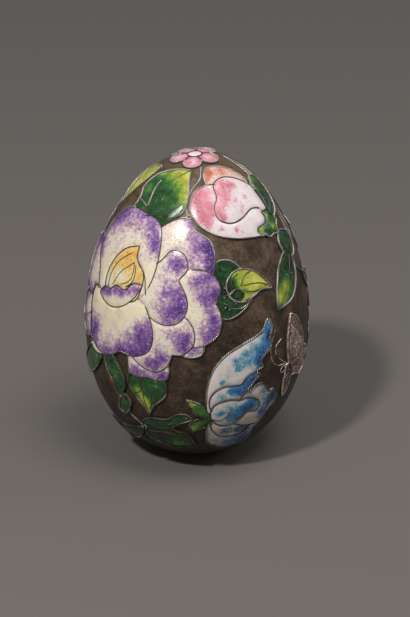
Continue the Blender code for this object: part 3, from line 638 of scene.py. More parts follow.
petal = partial(Field, peony_glass, PEONY)
leaf = partial(Field, leaf_glass)
peony = [
    petal("peony_cup_petal", "cream",
        (0.1, [(-17.5, 5.2, 1.7, 0.8), (-14.6, 4.9, 1.5, 0.8), (-11.5, 6.1, 1.9, 0.85),
            (-9, 5.3, 1.4, 0.7), (-6.5, 6.4, 1.7, 0.6), (-3.6, 7.7, 1.9, 0.55)]),
        [(-19.6, 4.2), (-17, 6.3), (-14, 6), (-11.4, 7.4), (-8.2, 6.5), (-4.8, 8.9), (-1.7, 8.9)],
        [(-1.7, 8.9), (-4.2, 4.8), (-8.4, 1.6), (-13, 0.7), (-17, 2), (-19.6, 4.2)],
        heart=(-10, 3.4)),
    Field(gold_glass, PEONY, "peony_heart", "amber",
        (0.35, [(-12.2, 14, 3, 0.3), (-8, 15.6, 3, 0.36), (-5.5, 16.6, 2, 0.3),
            (-3.4, 11, 1.6, 0.5), (-7, 12.6, 1.2, 0.25), (-15.5, 8, 2.5, -0.35),
            (-10.5, 10.3, 1.8, -0.4)]),
        [(-17, 4.5), (-16.5, 9.8), (-13.6, 14.6), (-9.6, 17.4), (-5.1, 18.5)],
        [(-5.1, 18.5), (-5, 15.6), (-2.2, 12), (-2, 8.4), (-4, 4), (-12, 3.2), (-17, 4.5)],
        heart=(-8, 9.5)),
    petal("peony_large_petal", "purple",
        (0.12, [(-0.5, -4.4, 3.6, 0.55), (-3, -11, 4, 0.5), (0.6, -8, 3.6, 0.4),
            (-8.6, -13, 3.2, 0.5), (-15, -14, 3, 0.4), (-22, -9.5, 3.8, 0.65), (-20, -5, 3.4, 0.4),
            (-13, -9, 3, 0.15), (-7, -7, 2.6, 0.2), (-12, 4, 7, -0.5), (-20, 3, 4.5, -0.5),
            (-1, 2.5, 2.8, -0.5)], 0.34, 2.6),
        [(-8, -13.1), (-2.6, -13.5), (2.4, -10.8), (3.8, -6.4), (2.4, -0.8), (-1, 4), (-10, 5.4),
         (-18, 4.8), (-22, 6.2), (-24.4, 3.4), (-25.4, -3.4), (-24.6, -11.4), (-20.4, -15.3),
         (-14, -16), (-8, -13.1)], heart=(-10, -1), bare=[(-1.6, 4.6, 2.6)]),
    petal("peony_top_left_petal", "purple",
        (0.14, [(-17.4, 24, 3, 0.5), (-13, 25.6, 2.6, 0.5), (-7, 24.4, 2.8, 0.35),
            (-2.6, 22.6, 2.6, 0.4), (-0.6, 19.4, 2.2, 0.45), (-22, 18, 3, 0.4), (-12, 21, 4, 0.14),
            (-3, 16.4, 1.6, 0.2), (1, 13, 3, -0.3), (0, 9, 3.4, -0.3), (-21, 9, 5, -0.3)], 0.3, 2),
        [(1.4, 17.2), (-0.4, 23.8), (-6, 26.1), (-12.6, 27.3), (-19, 24.4), (-23.6, 18.4),
         (-21.4, 11), (-20, 4.8), (-12, 3.6), (-3.4, 4.2), (0.4, 9.4)],
        heart=(-9, 11), bare=[(-2.6, 5.6, 4.4)]),
    petal("peony_middle_petal", "purple",
        (0.14, [(7.6, 16.5, 2.2, 0.75), (4.6, 17.6, 2.2, 0.35), (10.6, 4.6, 2.8, 0.8),
            (8.4, 9.4, 2.4, 0.4), (7.5, 1.6, 2.8, 0.6), (11, 8.5, 2.2, 0.45), (5, 12, 2.8, 0.22),
            (4.6, 5, 2.8, 0.28), (5, 8.6, 2.4, 0.2)], 0.05, 1),
        [(8.4, 12.6), (12, 8.2), (12.7, 4), (10.4, 0.2), (5.6, -0.9), (1, 1.2), (-3, 5),
         (-2.4, 12), (2.3, 16.2), (4.6, 19.2), (8.2, 18.9), (10, 15.8), (8.4, 12.6)],
        heart=(4, 7), bare=[(-1.6, 4.6, 3.4)]),
    petal("peony_lower_petal", "purple",
        (0.14, [(14, -3, 3, 0.6), (13.8, -7, 2.6, 0.7), (9.4, -3.6, 2.6, 0.3),
            (5, -14.6, 2.4, 0.75), (8, -12, 2.2, 0.6), (2, -14.4, 2, 0.4), (6, -9, 2.6, 0.25)],
            0.05, 1),
        [(10.6, -9.9), (14.2, -9.2), (16.8, -5.4), (16.2, -0.8), (12.6, 2.8), (6, 2.4), (0, -2),
         (-4, -10), (-3.2, -13.6), (0.8, -16.4), (5.4, -17.2), (9, -14.6), (10.6, -9.9)],
        heart=(4.5, -5)),
    petal("peony_right_petal", "purple",
        (0.12, [(16, 14.8, 2.8, 0.65), (19.6, 11.5, 2.4, 0.75), (13, 13, 2.2, 0.45),
            (18, 8, 2.2, 0.45), (20.8, 4.5, 2.6, 0.6), (22, 1, 2.6, 0.65), (20.4, -2.6, 2.4, 0.6),
            (15.6, 10, 2.2, 0.35), (17.6, 0, 2, 0.25)], 0.1, 1.2),
        [(20.3, 9.6), (23.4, 5.2), (23.8, 0), (21.2, -4), (17, -6), (12.6, -2), (10, 6),
         (7.6, 13.6), (12, 16.3), (17, 16.5), (20.4, 13.4), (20.3, 9.6)],
        heart=(15, 5), bare=[(10, 15.6, 1.6)]),
    petal("peony_top_right_petal", "purple",
        (0.2, [(6.8, 26, 1.8, 0.4), (8.8, 23, 1.8, 0.3), (10.6, 21.4, 2, 0.45),
            (14.8, 21, 2.1, 0.8), (13, 23.4, 1.9, 0.75), (16, 18, 2, 0.85), (11, 17.6, 2.2, 0.3)],
            0.05, 1),
        [(9, 24.7), (6.2, 26.8), (2.4, 25.4), (-2, 21), (-2, 14), (5, 12), (13, 13.4),
         (16.7, 15.6), (16.2, 20), (13.4, 23.7), (9, 24.7)], heart=(6, 18)),
    petal("peony_under_petal", "purple",
        (0.3, [(-2.5, -18, 2.6, 0.35), (1, -18.4, 2.4, 0.3), (7.6, -18, 2.2, 0.6)], 0.05, 1),
        [(3, -19.6), (-0.6, -20.3), (-3.8, -19.8), (-5.1, -16.4), (-4, -12.4), (2, -13), (8, -12),
         (10, -15), (9.4, -18.9), (6.6, -20.1), (3, -19.6)], heart=(2.5, -15.5)),
    petal("peony_left_petal", "cream",
        (0.16, [(-30, 17, 4.5, 0.4), (-25, 21, 3, 0.3), (-32, 9, 3, 0.3)], 0.62, 3.4),
        [(-18.6, 6), (-19, 16), (-22, 20.4), (-25.6, 22.2), (-30.4, 20), (-33, 13), (-31.6, 6),
         (-27, 3), (-22, 3.2)], heart=(-24, 10)),
    petal("peony_lower_left_petal", "cream",
        (0.16, [(-30, -6, 4, 0.3), (-32, 1, 3, 0.25)], 0.6, 3.2),
        [(-22.6, 3.6), (-27.6, 5.2), (-32.4, 1.4), (-33.6, -5), (-31, -10.6), (-26.6, -12.4),
         (-22.4, -9), (-21, -2)], heart=(-27, -3)),
    petal("peony_right_sliver", "purple", (0.35, [(17, -7, 2, 0.4)]),
        [(12.4, -7.6), (13.6, -9.6), (16.6, -9.8), (19.6, -8.4), (20.4, -6.4), (19.6, -3.8),
         (15, -4.6)], heart=(17, -7)),
    petal("peony_left_sliver", "cream", (0.1, []),
        [(-25, -13.6), (-23.6, -16.4), (-20.6, -17.1), (-17.4, -16.4), (-16.4, -14.6),
         (-20, -13.4)], heart=(-21, -15.2)),
    leaf(ABOVE_PEONY, "leaf_above_peony", "yellow_green",
        (0.84, [(3, 12.4, 2.8, -0.75), (5.8, 8, 2.8, -0.55), (7.2, 4.6, 2, -0.4),
            (-1, 11, 2.2, -0.45), (-4.6, 10.4, 1.8, -0.35), (1.6, 9, 2, -0.25),
            (-6.2, 5.4, 2, -0.25), (-5, -1.4, 2, -0.18), (3, 1, 1.6, -0.15)]),
        [(3.2, 13.6), (4.4, 11), (7.4, 6.4), (8.3, 2.6), (6.4, -1.6), (2, -5), (-4, -4.6),
         (-9.4, -0.6)],
        [(-9.4, -0.6), (-8.2, 2.6), (-8.8, 6), (-6.6, 9.4), (-2.2, 11.8), (3.2, 13.6)]),
    leaf(RIGHT, "leaf_curl", "green", (0.95, []),
        [(-19.2, 18), (-17.8, 18.7), (-16.2, 18.5), (-15.2, 17.2), (-15.6, 15.9), (-17, 15.5),
         (-18.7, 16.4)], heart=(-17.1, 17.1)),
    leaf(RIGHT, "curled_leaf", "yellow_green",
        (0.24, [(-10, 19, 3, -0.2), (-17.8, 21, 2, 0.7), (-18.8, 18.6, 1.8, 0.7),
            (-14.6, 17.4, 1.4, 0.3), (-10, 15.8, 2, 0.2), (-18, 15.6, 1.8, 0.3)]),
        [(-20, 17.6), (-18.6, 21.8), (-15, 23.5), (-10.6, 22), (-7.6, 18.8), (-5.6, 15.6)],
        [(-5.6, 15.6), (-9.4, 16.2), (-13, 15.3), (-17.4, 14.8), (-20, 17.6)]),
    leaf(RIGHT, "curled_leaf_upper_lobe", "green", (0.92, []),
        [(-17.4, 18.6), (-21, 18), (-23.6, 20), (-22.6, 23.4), (-20.8, 25.8), (-18, 27.2),
         (-14.8, 25.6), (-13.4, 22), (-15, 19.6)], heart=(-18.4, 22)),
    leaf(RIGHT, "curled_leaf_lower_lobe", "green", (0.9, []),
        [(-25, 14.6), (-22.6, 11.2), (-18.6, 11.6), (-13.2, 14.4)],
        [(-13.2, 14.4), (-14.6, 17.4), (-19, 19), (-23.6, 18), (-25, 14.6)]),
    leaf(LOW, "leaf_below_peony", "green",
        (0.9, [(-14, 8.6, 1.9, -0.6), (-11.4, 5.6, 2.3, -0.75), (-9.6, 2.4, 2, -0.7),
            (-7, 12, 2.4, -0.18)]),
        [(-9.4, 0.3), (-7.8, 4.8), (-4.4, 9.4), (-4, 13), (-6, 17), (-12, 17.4), (-17, 14.6),
         (-18, 10.6), (-15, 6.4), (-11.6, 3.2), (-9.4, 0.3)], heart=(-10.4, 10)),
    leaf(FAR_LEFT, "left_leaf", "green", (0.84, [(10.6, 0.6, 2.2, -0.2)]),
        [(8, 9), (11, 5.4), (13.8, 1), (14.5, -3), (13, -6), (13.4, -9)],
        [(13.4, -9), (10.6, -7.6), (9, -3), (6.8, 1.4), (6, 6), (8, 9)]),
    leaf(FAR_LEFT, "left_leaf_tail", "green", (0.9, [(12, -10, 1.4, -0.2)]),
        [(12.4, -6), (14.4, -7.6), (14.8, -9.6), (13.2, -12), (10.6, -14.6)],
        [(10.6, -14.6), (8.6, -13), (9.6, -10.4), (10.8, -8), (12.4, -6)]),
    leaf(ABOVE_PEONY, "top_left_leaf", "yellow_green", (0.3, [(-14, 9, 3, -0.2)]),
        [(-6.8, 12.9), (-8.8, 9.6), (-11.6, 6.9), (-14.6, 5.1), (-18.4, 3)],
        [(-18.4, 3), (-19, 8), (-16, 12.6), (-11.4, 14.6), (-6.8, 12.9)]),
    leaf(FAR_LEFT, "far_left_leaf", "green", (0.88, [(0, 2, 2.6, -0.25)]),
        [(5.4, 7), (3.4, 2), (-1, -2.6), (-5, -5.6), (-10, -8)],
        [(-10, -8), (-10.6, -3), (-6, 2), (-1, 6.4), (5.4, 7)]),
]
motif("peony_wires", PEONY, peony, veins=[
    (PEONY,
     [(-15, 6.5), (-14.6, 9.5), (-12.8, 12.5), (-10.5, 14.6), (-7, 16.5)],
     [(-12.9, 7.4), (-11.5, 9.5), (-9.5, 11.8), (-7.5, 13), (-5.5, 14.4)],
     [(-9.6, 7.9), (-7.5, 8.6), (-6, 10), (-5.5, 12), (-5.6, 14.2)],
     [(-7.5, 7.5), (-5.5, 9), (-4.8, 11), (-5, 13.8)],
     [(-5.2, 17), (-5, 15.5), (-3.8, 13.8), (-2.2, 12.5), (-1.2, 10.5), (-0.8, 8.5), (-0.2, 6.5)],
     [(-20.5, 5.2), (-22, 6.2), (-23.3, 5.8), (-24.2, 4.2), (-24.6, 2.2)],
     [(-25.2, -3.3), (-27, -4.4), (-29.8, -4.8)]),
    (ABOVE_PEONY,
     [(3, 13.3), (1.3, 10.2), (-0.8, 7.4)],
     [(-2.6, -2.6), (1, -1.6), (4.4, 0.6), (7.2, 4)]),
    (RIGHT,
     [(-14.4, 19), (-11.8, 18.7), (-9.3, 18.1), (-7, 16.8)],
     [(-15.2, 19.3), (-14.2, 20.6), (-12.7, 21.6), (-11, 21.9)],
     [(-14.5, 17.4), (-12.6, 16.7), (-9.9, 16.4)],
     [(-15, 22.5), (-16.9, 21.7), (-18, 20.3), (-18.4, 19.2)]),
    (LOW,
     [(-12, 9.6), (-11.6, 6.4), (-10, 2.4)],
     [(-9.2, 9), (-8.8, 6), (-9.4, 2.6)],
     [(-13, 13), (-12.6, 9.4), (-14.8, 7)]),
], bright=[
    (ABOVE_PEONY,
     [(-7.2, 1.9), (-5.2, 0.8), (-3.6, 0)],
     [(-3.5, 0.1), (-3.6, 2.6), (-3.7, 5), (-3.6, 6.8), (-3.2, 8)]),
    (RIGHT,
     [(-13.8, 23.5), (-16.3, 23.2), (-18.1, 22.1), (-19.4, 20.6), (-19.7, 18.9), (-19.4, 17),
      (-18.3, 15.6), (-16.6, 14.8), (-14.7, 14.6), (-13.4, 15.1)],
     [(-19.2, 18), (-17.8, 18.7), (-16.2, 18.5), (-15.2, 17.2)],
     [(-21.8, 16.2), (-21, 14.9), (-19.3, 13.6), (-17.3, 13.2), (-15.2, 13.7), (-14, 14.3)]),
    (PEONY, [(19.7, 10.4), (20.6, 9.8), (20.4, 8.8)]),
])


# The small blossom on the pointed end: five pink petals round a white bead, all of crushed glass
# fused between wires that are soldered to the metal.
rose_glass = glass("rose_enamel", 0.22, (0.0, 230, 222, 224), (0.24, 228, 206, 212),
                   (0.4, 218, 156, 170), (0.6, 208, 124, 142), (1.0, 182, 98, 116),
                   tinge=(226, 186, 196))
TOP = Plan(azimuth=-68, rise=87.8, unit_angle=1.019)


def petal_ring(name, plan, slot, finish, wash, first, middle, half_length, half_width):
    """Five rounded petals set evenly round a plan's centre: an oval, broader at its outer end."""
    count = 5
    around = np.linspace(0, 2 * np.pi, 8, endpoint=False)
    petals = []
    for index in range(count):
        angle = np.radians(first + 360 / count * index)
        along = middle + half_length * np.cos(around)
        across = half_width * np.sin(around) * (1 + 0.18 * np.cos(around))
        stroke = np.column_stack([along * np.cos(angle) - across * np.sin(angle),
                                  along * np.sin(angle) + across * np.cos(angle)])
        heart = np.array([np.cos(angle), np.sin(angle)]) * (middle - half_length * 0.3)
        petals.append(Field(finish, plan, "%s_petal_%d" % (name, index + 1), slot, wash, stroke,
                            heart=heart))
    return petals


def disc(finish, plan, node, slot, wash, radius):
    """Round field about the middle of a plan."""
    around = np.linspace(0, 2 * np.pi, 8, endpoint=False)
    stroke = radius * np.column_stack([np.cos(around), np.sin(around)])
    return Field(finish, plan, node, slot, wash, stroke, heart=(0, 0))


blossom = petal_ring("blossom", TOP, "pale_pink", rose_glass, (0.35, [], 0.3, 1.2),
                     42, 4.4, 3.2, 2.7)
bead = disc(rose_glass, TOP, "blossom_centre", "pale_pink", (0, []), 2.2)
motif("blossom_wires", TOP, [bead] + blossom)


# The rosebud with its calyx, a leaf and a bright chain of wire for its stem. Its white glass is
# blotted with rose, and with orange on the petal behind. It tucks under the peony's edge, and its
# wires are soldered down after that flower's.
ROSEBUD = Plan(azimuth=30, rise=61.8, unit_angle=1.201)
blush_glass = glass("blush_enamel", 0.4, (0.0, 226, 210, 206), (0.35, 218, 172, 160),
                    (0.6, 206, 126, 92), (1.0, 150, 82, 56), tinge=(222, 168, 162))
rosebud = [
    leaf(ROSEBUD, "rosebud_calyx", "yellow_green",
        (0.82, [(8.4, -3, 1.3, -0.45), (11.4, 1.6, 1.2, -0.5), (14, -1.2, 1.3, -0.5)]),
        [(9.8, 2.5), (11, 1.1), (10.2, -0.8), (8.6, -1.6), (6.9, -2.6), (6.9, -3.9), (9.6, -4)],
        [(9.6, -4), (11.6, -4.8), (13.8, -3.6), (16.6, -2.4), (16, -0.2), (16.7, 1.6), (14.2, 2.6),
         (13.4, 3.9), (9.8, 2.5)], heart=(12, -1.2)),
    Field(rose_glass, ROSEBUD, "rosebud_heart_petal", "pale_pink",
        (0.02, [(-1, 10.3, 2, 0.55), (2, 9.8, 1.6, 0.45), (-2.6, 8.2, 1.8, 0.5),
            (-0.6, 7.2, 1.5, 0.4), (4.8, 6.4, 0.9, 0.45), (-4.3, 4.1, 1.9, 0.6),
            (-4, 1.8, 1.4, 0.5), (3, 3.7, 1.1, 0.4), (-2, 5.4, 1.4, 0.3), (1.4, 5.6, 0.9, 0.35)],
            0.05, 1),
        [(8.6, 10.4), (4.4, 12), (0, 12.6), (-3.2, 11), (-3.8, 7.4), (-5.6, 5), (-5.4, 1.6),
         (-2, -0.2), (2.6, 1), (6.8, 3.4), (11.8, 3)],
        [(11.8, 3), (12.6, 4.2), (11, 6.9), (8.6, 10.4)], heart=(2, 6), bare=[(11.4, 3.2, 2.4)]),
    Field(rose_glass, ROSEBUD, "rosebud_outer_petal", "pink",
        (0.0, [(-8.4, 10, 2.1, 0.55), (-5.9, 9.4, 1.6, 0.55), (-9.8, 7, 2.2, 0.5),
            (-6.9, 6.6, 1.8, 0.55), (-10.4, 3.8, 2, 0.5), (-7.6, 3.8, 1.8, 0.5),
            (-9, 1.2, 1.4, 0.5), (-5.8, -1, 0.9, 0.45), (-1, -2.3, 1.1, 0.45),
            (1, -3.4, 0.8, 0.3)], 0.05, 1),
        [(-3.6, 11.4), (-8.6, 11.2), (-12, 7.6), (-11.8, 3), (-8, -1.8), (-2, -4.5), (5, -4.9),
         (11, -3.6), (11.4, 1), (7, 7), (0, 9.6)], heart=(-2, 3)),
    Field(blush_glass, ROSEBUD, "rosebud_back_petal", "pale_pink",
        (0.14, [(-2.8, 14.8, 1.5, 0.75), (1, 14.6, 1.5, 0.5), (-4.4, 13, 1.2, 0.5),
            (4.4, 13.4, 1, 0.25)], 0.1, 0.8),
        [(-5, 12), (-4.2, 15), (-2, 16.6), (3.6, 15.2), (7.4, 12.2)],
        [(7.4, 12.2), (7.4, 9), (0, 9), (-5, 9.4), (-5, 12)], heart=(0.5, 12)),
    leaf(ROSEBUD, "rosebud_leaf", "green", (0.9, [(10, 13, 1.7, -0.6), (11.4, 9.6, 1, -0.3)]),
        [(9.4, 12), (10.6, 14.6), (14, 14.6), (17, 11), (17.6, 6), (15, 2), (12.6, 5.2)],
        heart=(14, 9)),
]
motif("rosebud_wires", ROSEBUD, rosebud, peony + blossom, veins=[
    (ROSEBUD,
     [(-5, 1.2), (-3.2, 0.1), (-1, -0.2), (1, 0.2), (3.2, 1.4), (5.2, 2.8), (7, 3.4), (9, 3.6)],
     [(10.4, 13.4), (12.6, 10.6), (14.4, 7), (15, 4)]),
])
lay_lines("stem_chain", ROSEBUD, [(
    ROSEBUD,
    [(-3.6, 17.4), (-5.8, 14), (-8.6, 12.6), (-11.2, 10.6), (-12.9, 8.4), (-13.4, 6.6)],
    [(-13.4, 6.6), (-12.6, 5.9), (-13.4, 5.2), (-14.2, 5.9), (-13.4, 6.6)])])


# The leaf on the right, the small leaf that hangs above it, and their stem, a long loop of twisted
# wire soldered to bare metal with no glass in it. The leaf is green and turns yellow to its tip.
right_leaf = [
    leaf(RIGHT, "right_leaf", "green",
        (0.84, [(-2.4, 11.4, 3, -0.62), (0.4, 14.4, 2.2, -0.5), (4.6, 18.4, 4, 0.15)]),
        [(-4.7, 8.5), (-3.8, 14), (-1.4, 18.8), (2.4, 22.2), (6, 22.4)],
        [(6, 22.4), (7.8, 19), (6.8, 14.4), (3, 10.2), (-4.7, 8.5)]),
    leaf(RIGHT, "small_right_leaf", "green", (0.85, []),
        [(3, 22.8), (2.6, 25.5), (4.4, 27.5), (8, 27)],
        [(8, 27), (10.5, 24.5), (10, 21.5), (7.6, 20.6), (3, 22.8)]),
]
motif("right_leaf_wire", RIGHT, right_leaf, peony + rosebud, veins=[
    (RIGHT, [(-3.4, 9.6), (0.4, 13.6), (3.6, 17.6), (5.6, 21.4)]),
])
lay_lines("right_stem", RIGHT, [(
    RIGHT,
    [(4.2, 46.6), (5.4, 42.6), (6.6, 39.6), (7.4, 36.6), (8.2, 33.4), (9.2, 30.2), (10.2, 27.4),
     (10.6, 24.6)],
    [(4.2, 46.6), (7, 43), (8.2, 40), (9, 36.6), (9.8, 33.4), (11.2, 30), (12.4, 26.6),
     (11.6, 23.6), (10.1, 21.8)])])


# The blue flower with its two sepals: white glass with turquoise and deep blue run into it, fused
# and polished like the rest. The three petals that lie behind and below are greyer.
blue_glass = glass("blue_enamel", 0.36, (0.0, 232, 224, 220), (0.2, 206, 210, 212),
                   (0.42, 112, 168, 188), (0.66, 42, 124, 180), (0.86, 34, 98, 166),
                   (1.0, 24, 62, 120), tinge=(132, 172, 182))
grey_glass = glass("grey_blue_enamel", 0.4, (0.0, 232, 214, 198), (0.22, 204, 198, 194),
                   (0.45, 122, 150, 172), (0.7, 46, 92, 140), (1.0, 22, 42, 74),
                   tinge=(140, 140, 136))
BLUE_FLOWER = Plan(azimuth=24, rise=-12.9, unit_angle=1.605)
blue_petal = partial(Field, blue_glass, BLUE_FLOWER)
shaded_petal = partial(Field, grey_glass, BLUE_FLOWER)
blue_flower = [
    blue_petal("blue_flower_front_petal", "sky_blue",
        (0.08, [(-5.6, -9, 1.3, 0.5), (-1.6, -10.8, 1.9, 0.6), (0.6, -8, 2.2, 0.55),
            (4.4, -6.8, 2.4, 0.85), (0.8, -11.8, 1.6, 0.5), (2.4, -9, 1.6, 0.4),
            (-3, -7, 1.8, 0.2)]),
        [(-8.6, -8.3), (-7.9, -6), (-6.1, -4.7), (-3, -4), (0.3, -4.4), (2, -4), (4.2, -4.5),
         (6.7, -6.2), (7.2, -8.6), (6, -10), (3.4, -9.5), (2.1, -10.8), (0.7, -12.3), (-1, -13.5),
         (-3.8, -13.9), (-6.3, -12.9), (-8, -10.8)], heart=(-1.4, -8.4)),
    blue_petal("blue_flower_second_petal", "blue",
        (0.06, [(-2.8, -0.4, 1.7, 0.65), (-0.2, -1, 1.9, 0.8), (2, 1.6, 2, 0.9),
            (4.6, 3.2, 1.9, 0.9), (-6.2, -2.4, 1.2, 0.35), (-4.6, -4, 1.2, 0.3)]),
        [(-9.6, -4.4), (-8.4, -0.9), (-5.6, 0.9), (-1.5, 1.1), (0.1, 1.2), (1.3, 3), (3, 4.2),
         (5.4, 4.5), (6.2, 3.2), (4.6, 1.8), (3.2, 0), (1.2, -2.4), (-2, -7), (-8, -8)],
        heart=(-3, -2.6)),
    blue_petal("blue_flower_long_petal", "sky_blue",
        (0.03, [(-6.3, 2.8, 0.9, 0.6), (-1.3, 7.4, 1.6, 0.55), (-2.2, 9.8, 1.3, 0.5),
            (0.8, 11.2, 1.8, 0.45), (4.1, 13.2, 2.2, 0.5), (9, 18, 2.4, 0.75), (9, 13, 2.3, 0.7),
            (6.4, 10.9, 2, 0.6), (5.6, 8.2, 1.8, 0.75), (6.6, 6.2, 1.5, 0.8), (9.4, 15.6, 2, 0.5),
            (2.2, 8.6, 1.7, 0.35), (-4, 5.2, 1.2, 0.15)]),
        [(9.4, 21.2), (7, 17.8), (0, 15), (-6, 11.6), (-9.8, 6), (-10.8, -1), (-9.4, -8.6),
         (-5, -9), (0, -4), (2, 2), (4.6, 5), (7.3, 6), (6.8, 7.9), (7.4, 9.4), (9.6, 11),
         (10.7, 13), (10, 15), (10.8, 17), (10.9, 19)], heart=(-3, 6)),
    shaded_petal("blue_flower_back_petal", "blue",
        (0.1, [(11.3, -7.5, 2.8, 0.7), (8.2, -2.8, 1.7, 0.5), (8.6, -10.8, 1.9, 0.55),
            (12.8, -6, 2, 0.5), (10, -13.6, 2, 0.6), (3, -3, 1.1, 0.3)]),
        [(1.6, -2.2), (3.4, -1.4), (5.1, -0.2), (7.5, 0), (9.3, -1.6), (10.4, -4), (12.5, -4),
         (14.2, -6.2), (14, -9.2), (12.2, -11.2), (10.8, -14.2), (8.6, -15.6), (4, -15.4),
         (-2, -12), (-1, -6)], heart=(6, -8)),
    shaded_petal("blue_flower_lower_petal", "sky_blue",
        (0.14, [(-2.4, -16.2, 1.6, 0.6), (1.3, -16.4, 1.6, 0.5), (4, -16.2, 2.2, 0.85)]),
        [(-7.6, -13.6), (-4.6, -18), (0.4, -19.2), (4.6, -17.4), (5.4, -13), (0, -10.4),
         (-6, -10.6)], heart=(-0.6, -14.6)),
    shaded_petal("blue_flower_lowest_petal", "sky_blue",
        (0.28, [(1.6, -22.6, 2.6, 0.4), (5, -21, 2.8, 0.6), (-5, -17, 1.8, -0.15),
            (-2, -22, 1.8, 0.15)]),
        [(-8.4, -13), (-7.9, -17.4), (-6.8, -21.2), (-3.8, -24), (-0.5, -25.4), (3.4, -25.4),
         (6.2, -23.4), (7.6, -19), (6.4, -14), (0, -12), (-5, -11.4)], heart=(-0.6, -18.4)),
    leaf(BLUE_FLOWER, "blue_flower_upper_sepal", "green", (0.62, [(-15, -5.6, 2, -0.35)]),
        [(-16.4, -4.4), (-12.4, -5.4), (-8.6, -8.4)],
        [(-8.6, -8.4), (-8.4, -10.8), (-12.2, -10), (-14.8, -7.4), (-16.4, -4.4)]),
    leaf(BLUE_FLOWER, "blue_flower_lower_sepal", "yellow_green",
        (0.8, [(-12.4, -16, 1.8, -0.5), (-11.4, -13.4, 1.2, -0.2)]),
        [(-12.4, -17.2), (-9, -14.6), (-7, -13), (-7.6, -11.4), (-11.2, -11.2), (-13.8, -13.6),
         (-12.4, -17.2)], heart=(-10.6, -13.2)),
]
motif("blue_flower_wires", BLUE_FLOWER, blue_flower, peony, veins=[
    (BLUE_FLOWER, [(-8, -11), (-5.5, -11.5), (-3.5, -10), (-2.5, -8)]),
])


# Three long leaves of dark green glass near the foot, low on the front, wired as the others are,
# with a short stem of twisted wire that joins them to the leaves under the peony.
low_leaves = [
    leaf(LOW, "low_leaf", "green", (0.85, [(-1, 0.4, 2, -0.1)]),
        [(4.4, 0.9), (2.6, 2.9), (-0.4, 2.7), (-4, 0), (-8.6, -1.2), (-11.2, -3), (-12, -6.4)],
        [(-12, -6.4), (-7.4, -4.6), (-2.6, -3.6), (0, -1.2), (4.4, 0.9)]),
    leaf(LOW, "base_leaf", "green", (0.98, [(-1, -11, 2.4, -0.4), (2.4, -11.4, 1.6, -0.3)]),
        [(-10, -5), (-4.4, -3.2), (-1, -4.4), (3, -7), (4.6, -12)],
        [(4.6, -12), (-1, -13.6), (-7.4, -12), (-10.8, -9), (-10, -5)]),
    leaf(LOW, "base_left_leaf", "green", (0.98, [(-18, -16, 2, -0.2)]),
        [(-25, -17), (-19.4, -13.8), (-15, -10), (-11.6, -7)],
        [(-11.6, -7), (-11.8, -11.6), (-14, -16.6), (-18.4, -20.4), (-25, -17)]),
]
motif("low_leaf_wires", LOW, low_leaves, peony + blue_flower, veins=[
    (LOW,
     [(-9.4, -7.4), (-4, -5.8), (0.6, -7.6), (4, -11.4)],
     [(-23, -16.8), (-18, -15), (-14, -11), (-12, -8)]),
])
lay_lines("low_stem", LOW, [(LOW, [(-12, -6.6), (-13.6, -5.4), (-16.4, -4), (-18, -1.4)])])


# The butterfly: brown and mauve glass in wires of warmer silver. Fine ribs and forks of flat wire
# are pressed into the wings, and its feelers are curled wires soldered straight to the metal.
wing_glass = glass("wing_enamel", 0.5, (0.0, 192, 164, 158), (0.45, 136, 106, 100),
                   (1.0, 60, 42, 38), tinge=(150, 116, 112))
wing = partial(Field, wing_glass, RIGHT)
butterfly = [
    wing("butterfly_body", "mauve", (1.0, []),
        [(-1.4, -10.4), (0.8, -11.6), (2, -15), (1.8, -19), (0.2, -22.4), (-1.4, -19),
         (-1.6, -15)], heart=(0.2, -15.4)),
    wing("butterfly_fore_wing", "mauve", (0.4, [(3.6, 2, 2.2, 0.5), (7, -3, 2.6, 0.4)], 0.1, 1.5),
        [(0, -11), (-1.2, -5.6), (-0.9, 0), (0.9, 5.8)],
        [(0.9, 5.8), (4, 3.8), (7.4, -1.2), (8.8, -6.4), (5.6, -11), (0, -13.4), (0, -11)],
        heart=(3, -6)),
    wing("butterfly_hind_wing", "mauve", (0.45, [(11, -10, 3, 0.3)], 0.1, 1.5),
        [(0.4, -13), (5, -9), (10.4, -8), (14.2, -11), (13.4, -15.6), (9, -17.6), (4.6, -16),
         (0, -15)], heart=(7, -12.6)),
]
rib_silver = Finish("rib_wire", Metallic=0.7)
rib_silver.vary(Base_Color=rib_silver.ramp(rib_silver.noise(0.0014, 3), (0.35, 96, 80, 74),
                                           (0.55, 232, 212, 202)),
                Roughness=0.5 - rib_silver.noise(0.004) * 0.2)
motif("butterfly_wires", RIGHT, butterfly, blue_flower, finish=rib_silver)

# Ribs: straight lines from a line along the front edge to one along the tail, bowed sideways.
share = np.linspace(0.04, 0.96, 13)[:, None, None]
down = np.linspace(0, 1, 30)[None, :, None]
rib_tops, rib_feet = (0.4, 2.6) + share * (7.6, -8.6), (0.9, -11.4) + share * (11.6, -4.6)
bow = np.sin(np.pi * down) * (share * 1.8 - 1.3) * (1, 0.2)
ribs = rib_tops + (rib_feet - rib_tops) * down + bow
lay_wires("wing_ribs", RIGHT, list(ribs), flat_strip, rib_silver, GLASS_MIDDLE)
RIB_THICKNESS = 0.0001
forks = [[(u - 1.1, v + 1.7), (u, v), (u + 1, v + 1.9)]
         for u, v in ((2.2, -6.4), (4.6, -8.8), (3, -10.6), (6.4, -12.4), (9, -13.6), (5.6, -5.8),
                      (11, -12))]
lay_lines("wing_forks", RIGHT, [(RIGHT, *forks)], flat_strip, rib_silver,
          GLASS_MIDDLE + RIB_THICKNESS)
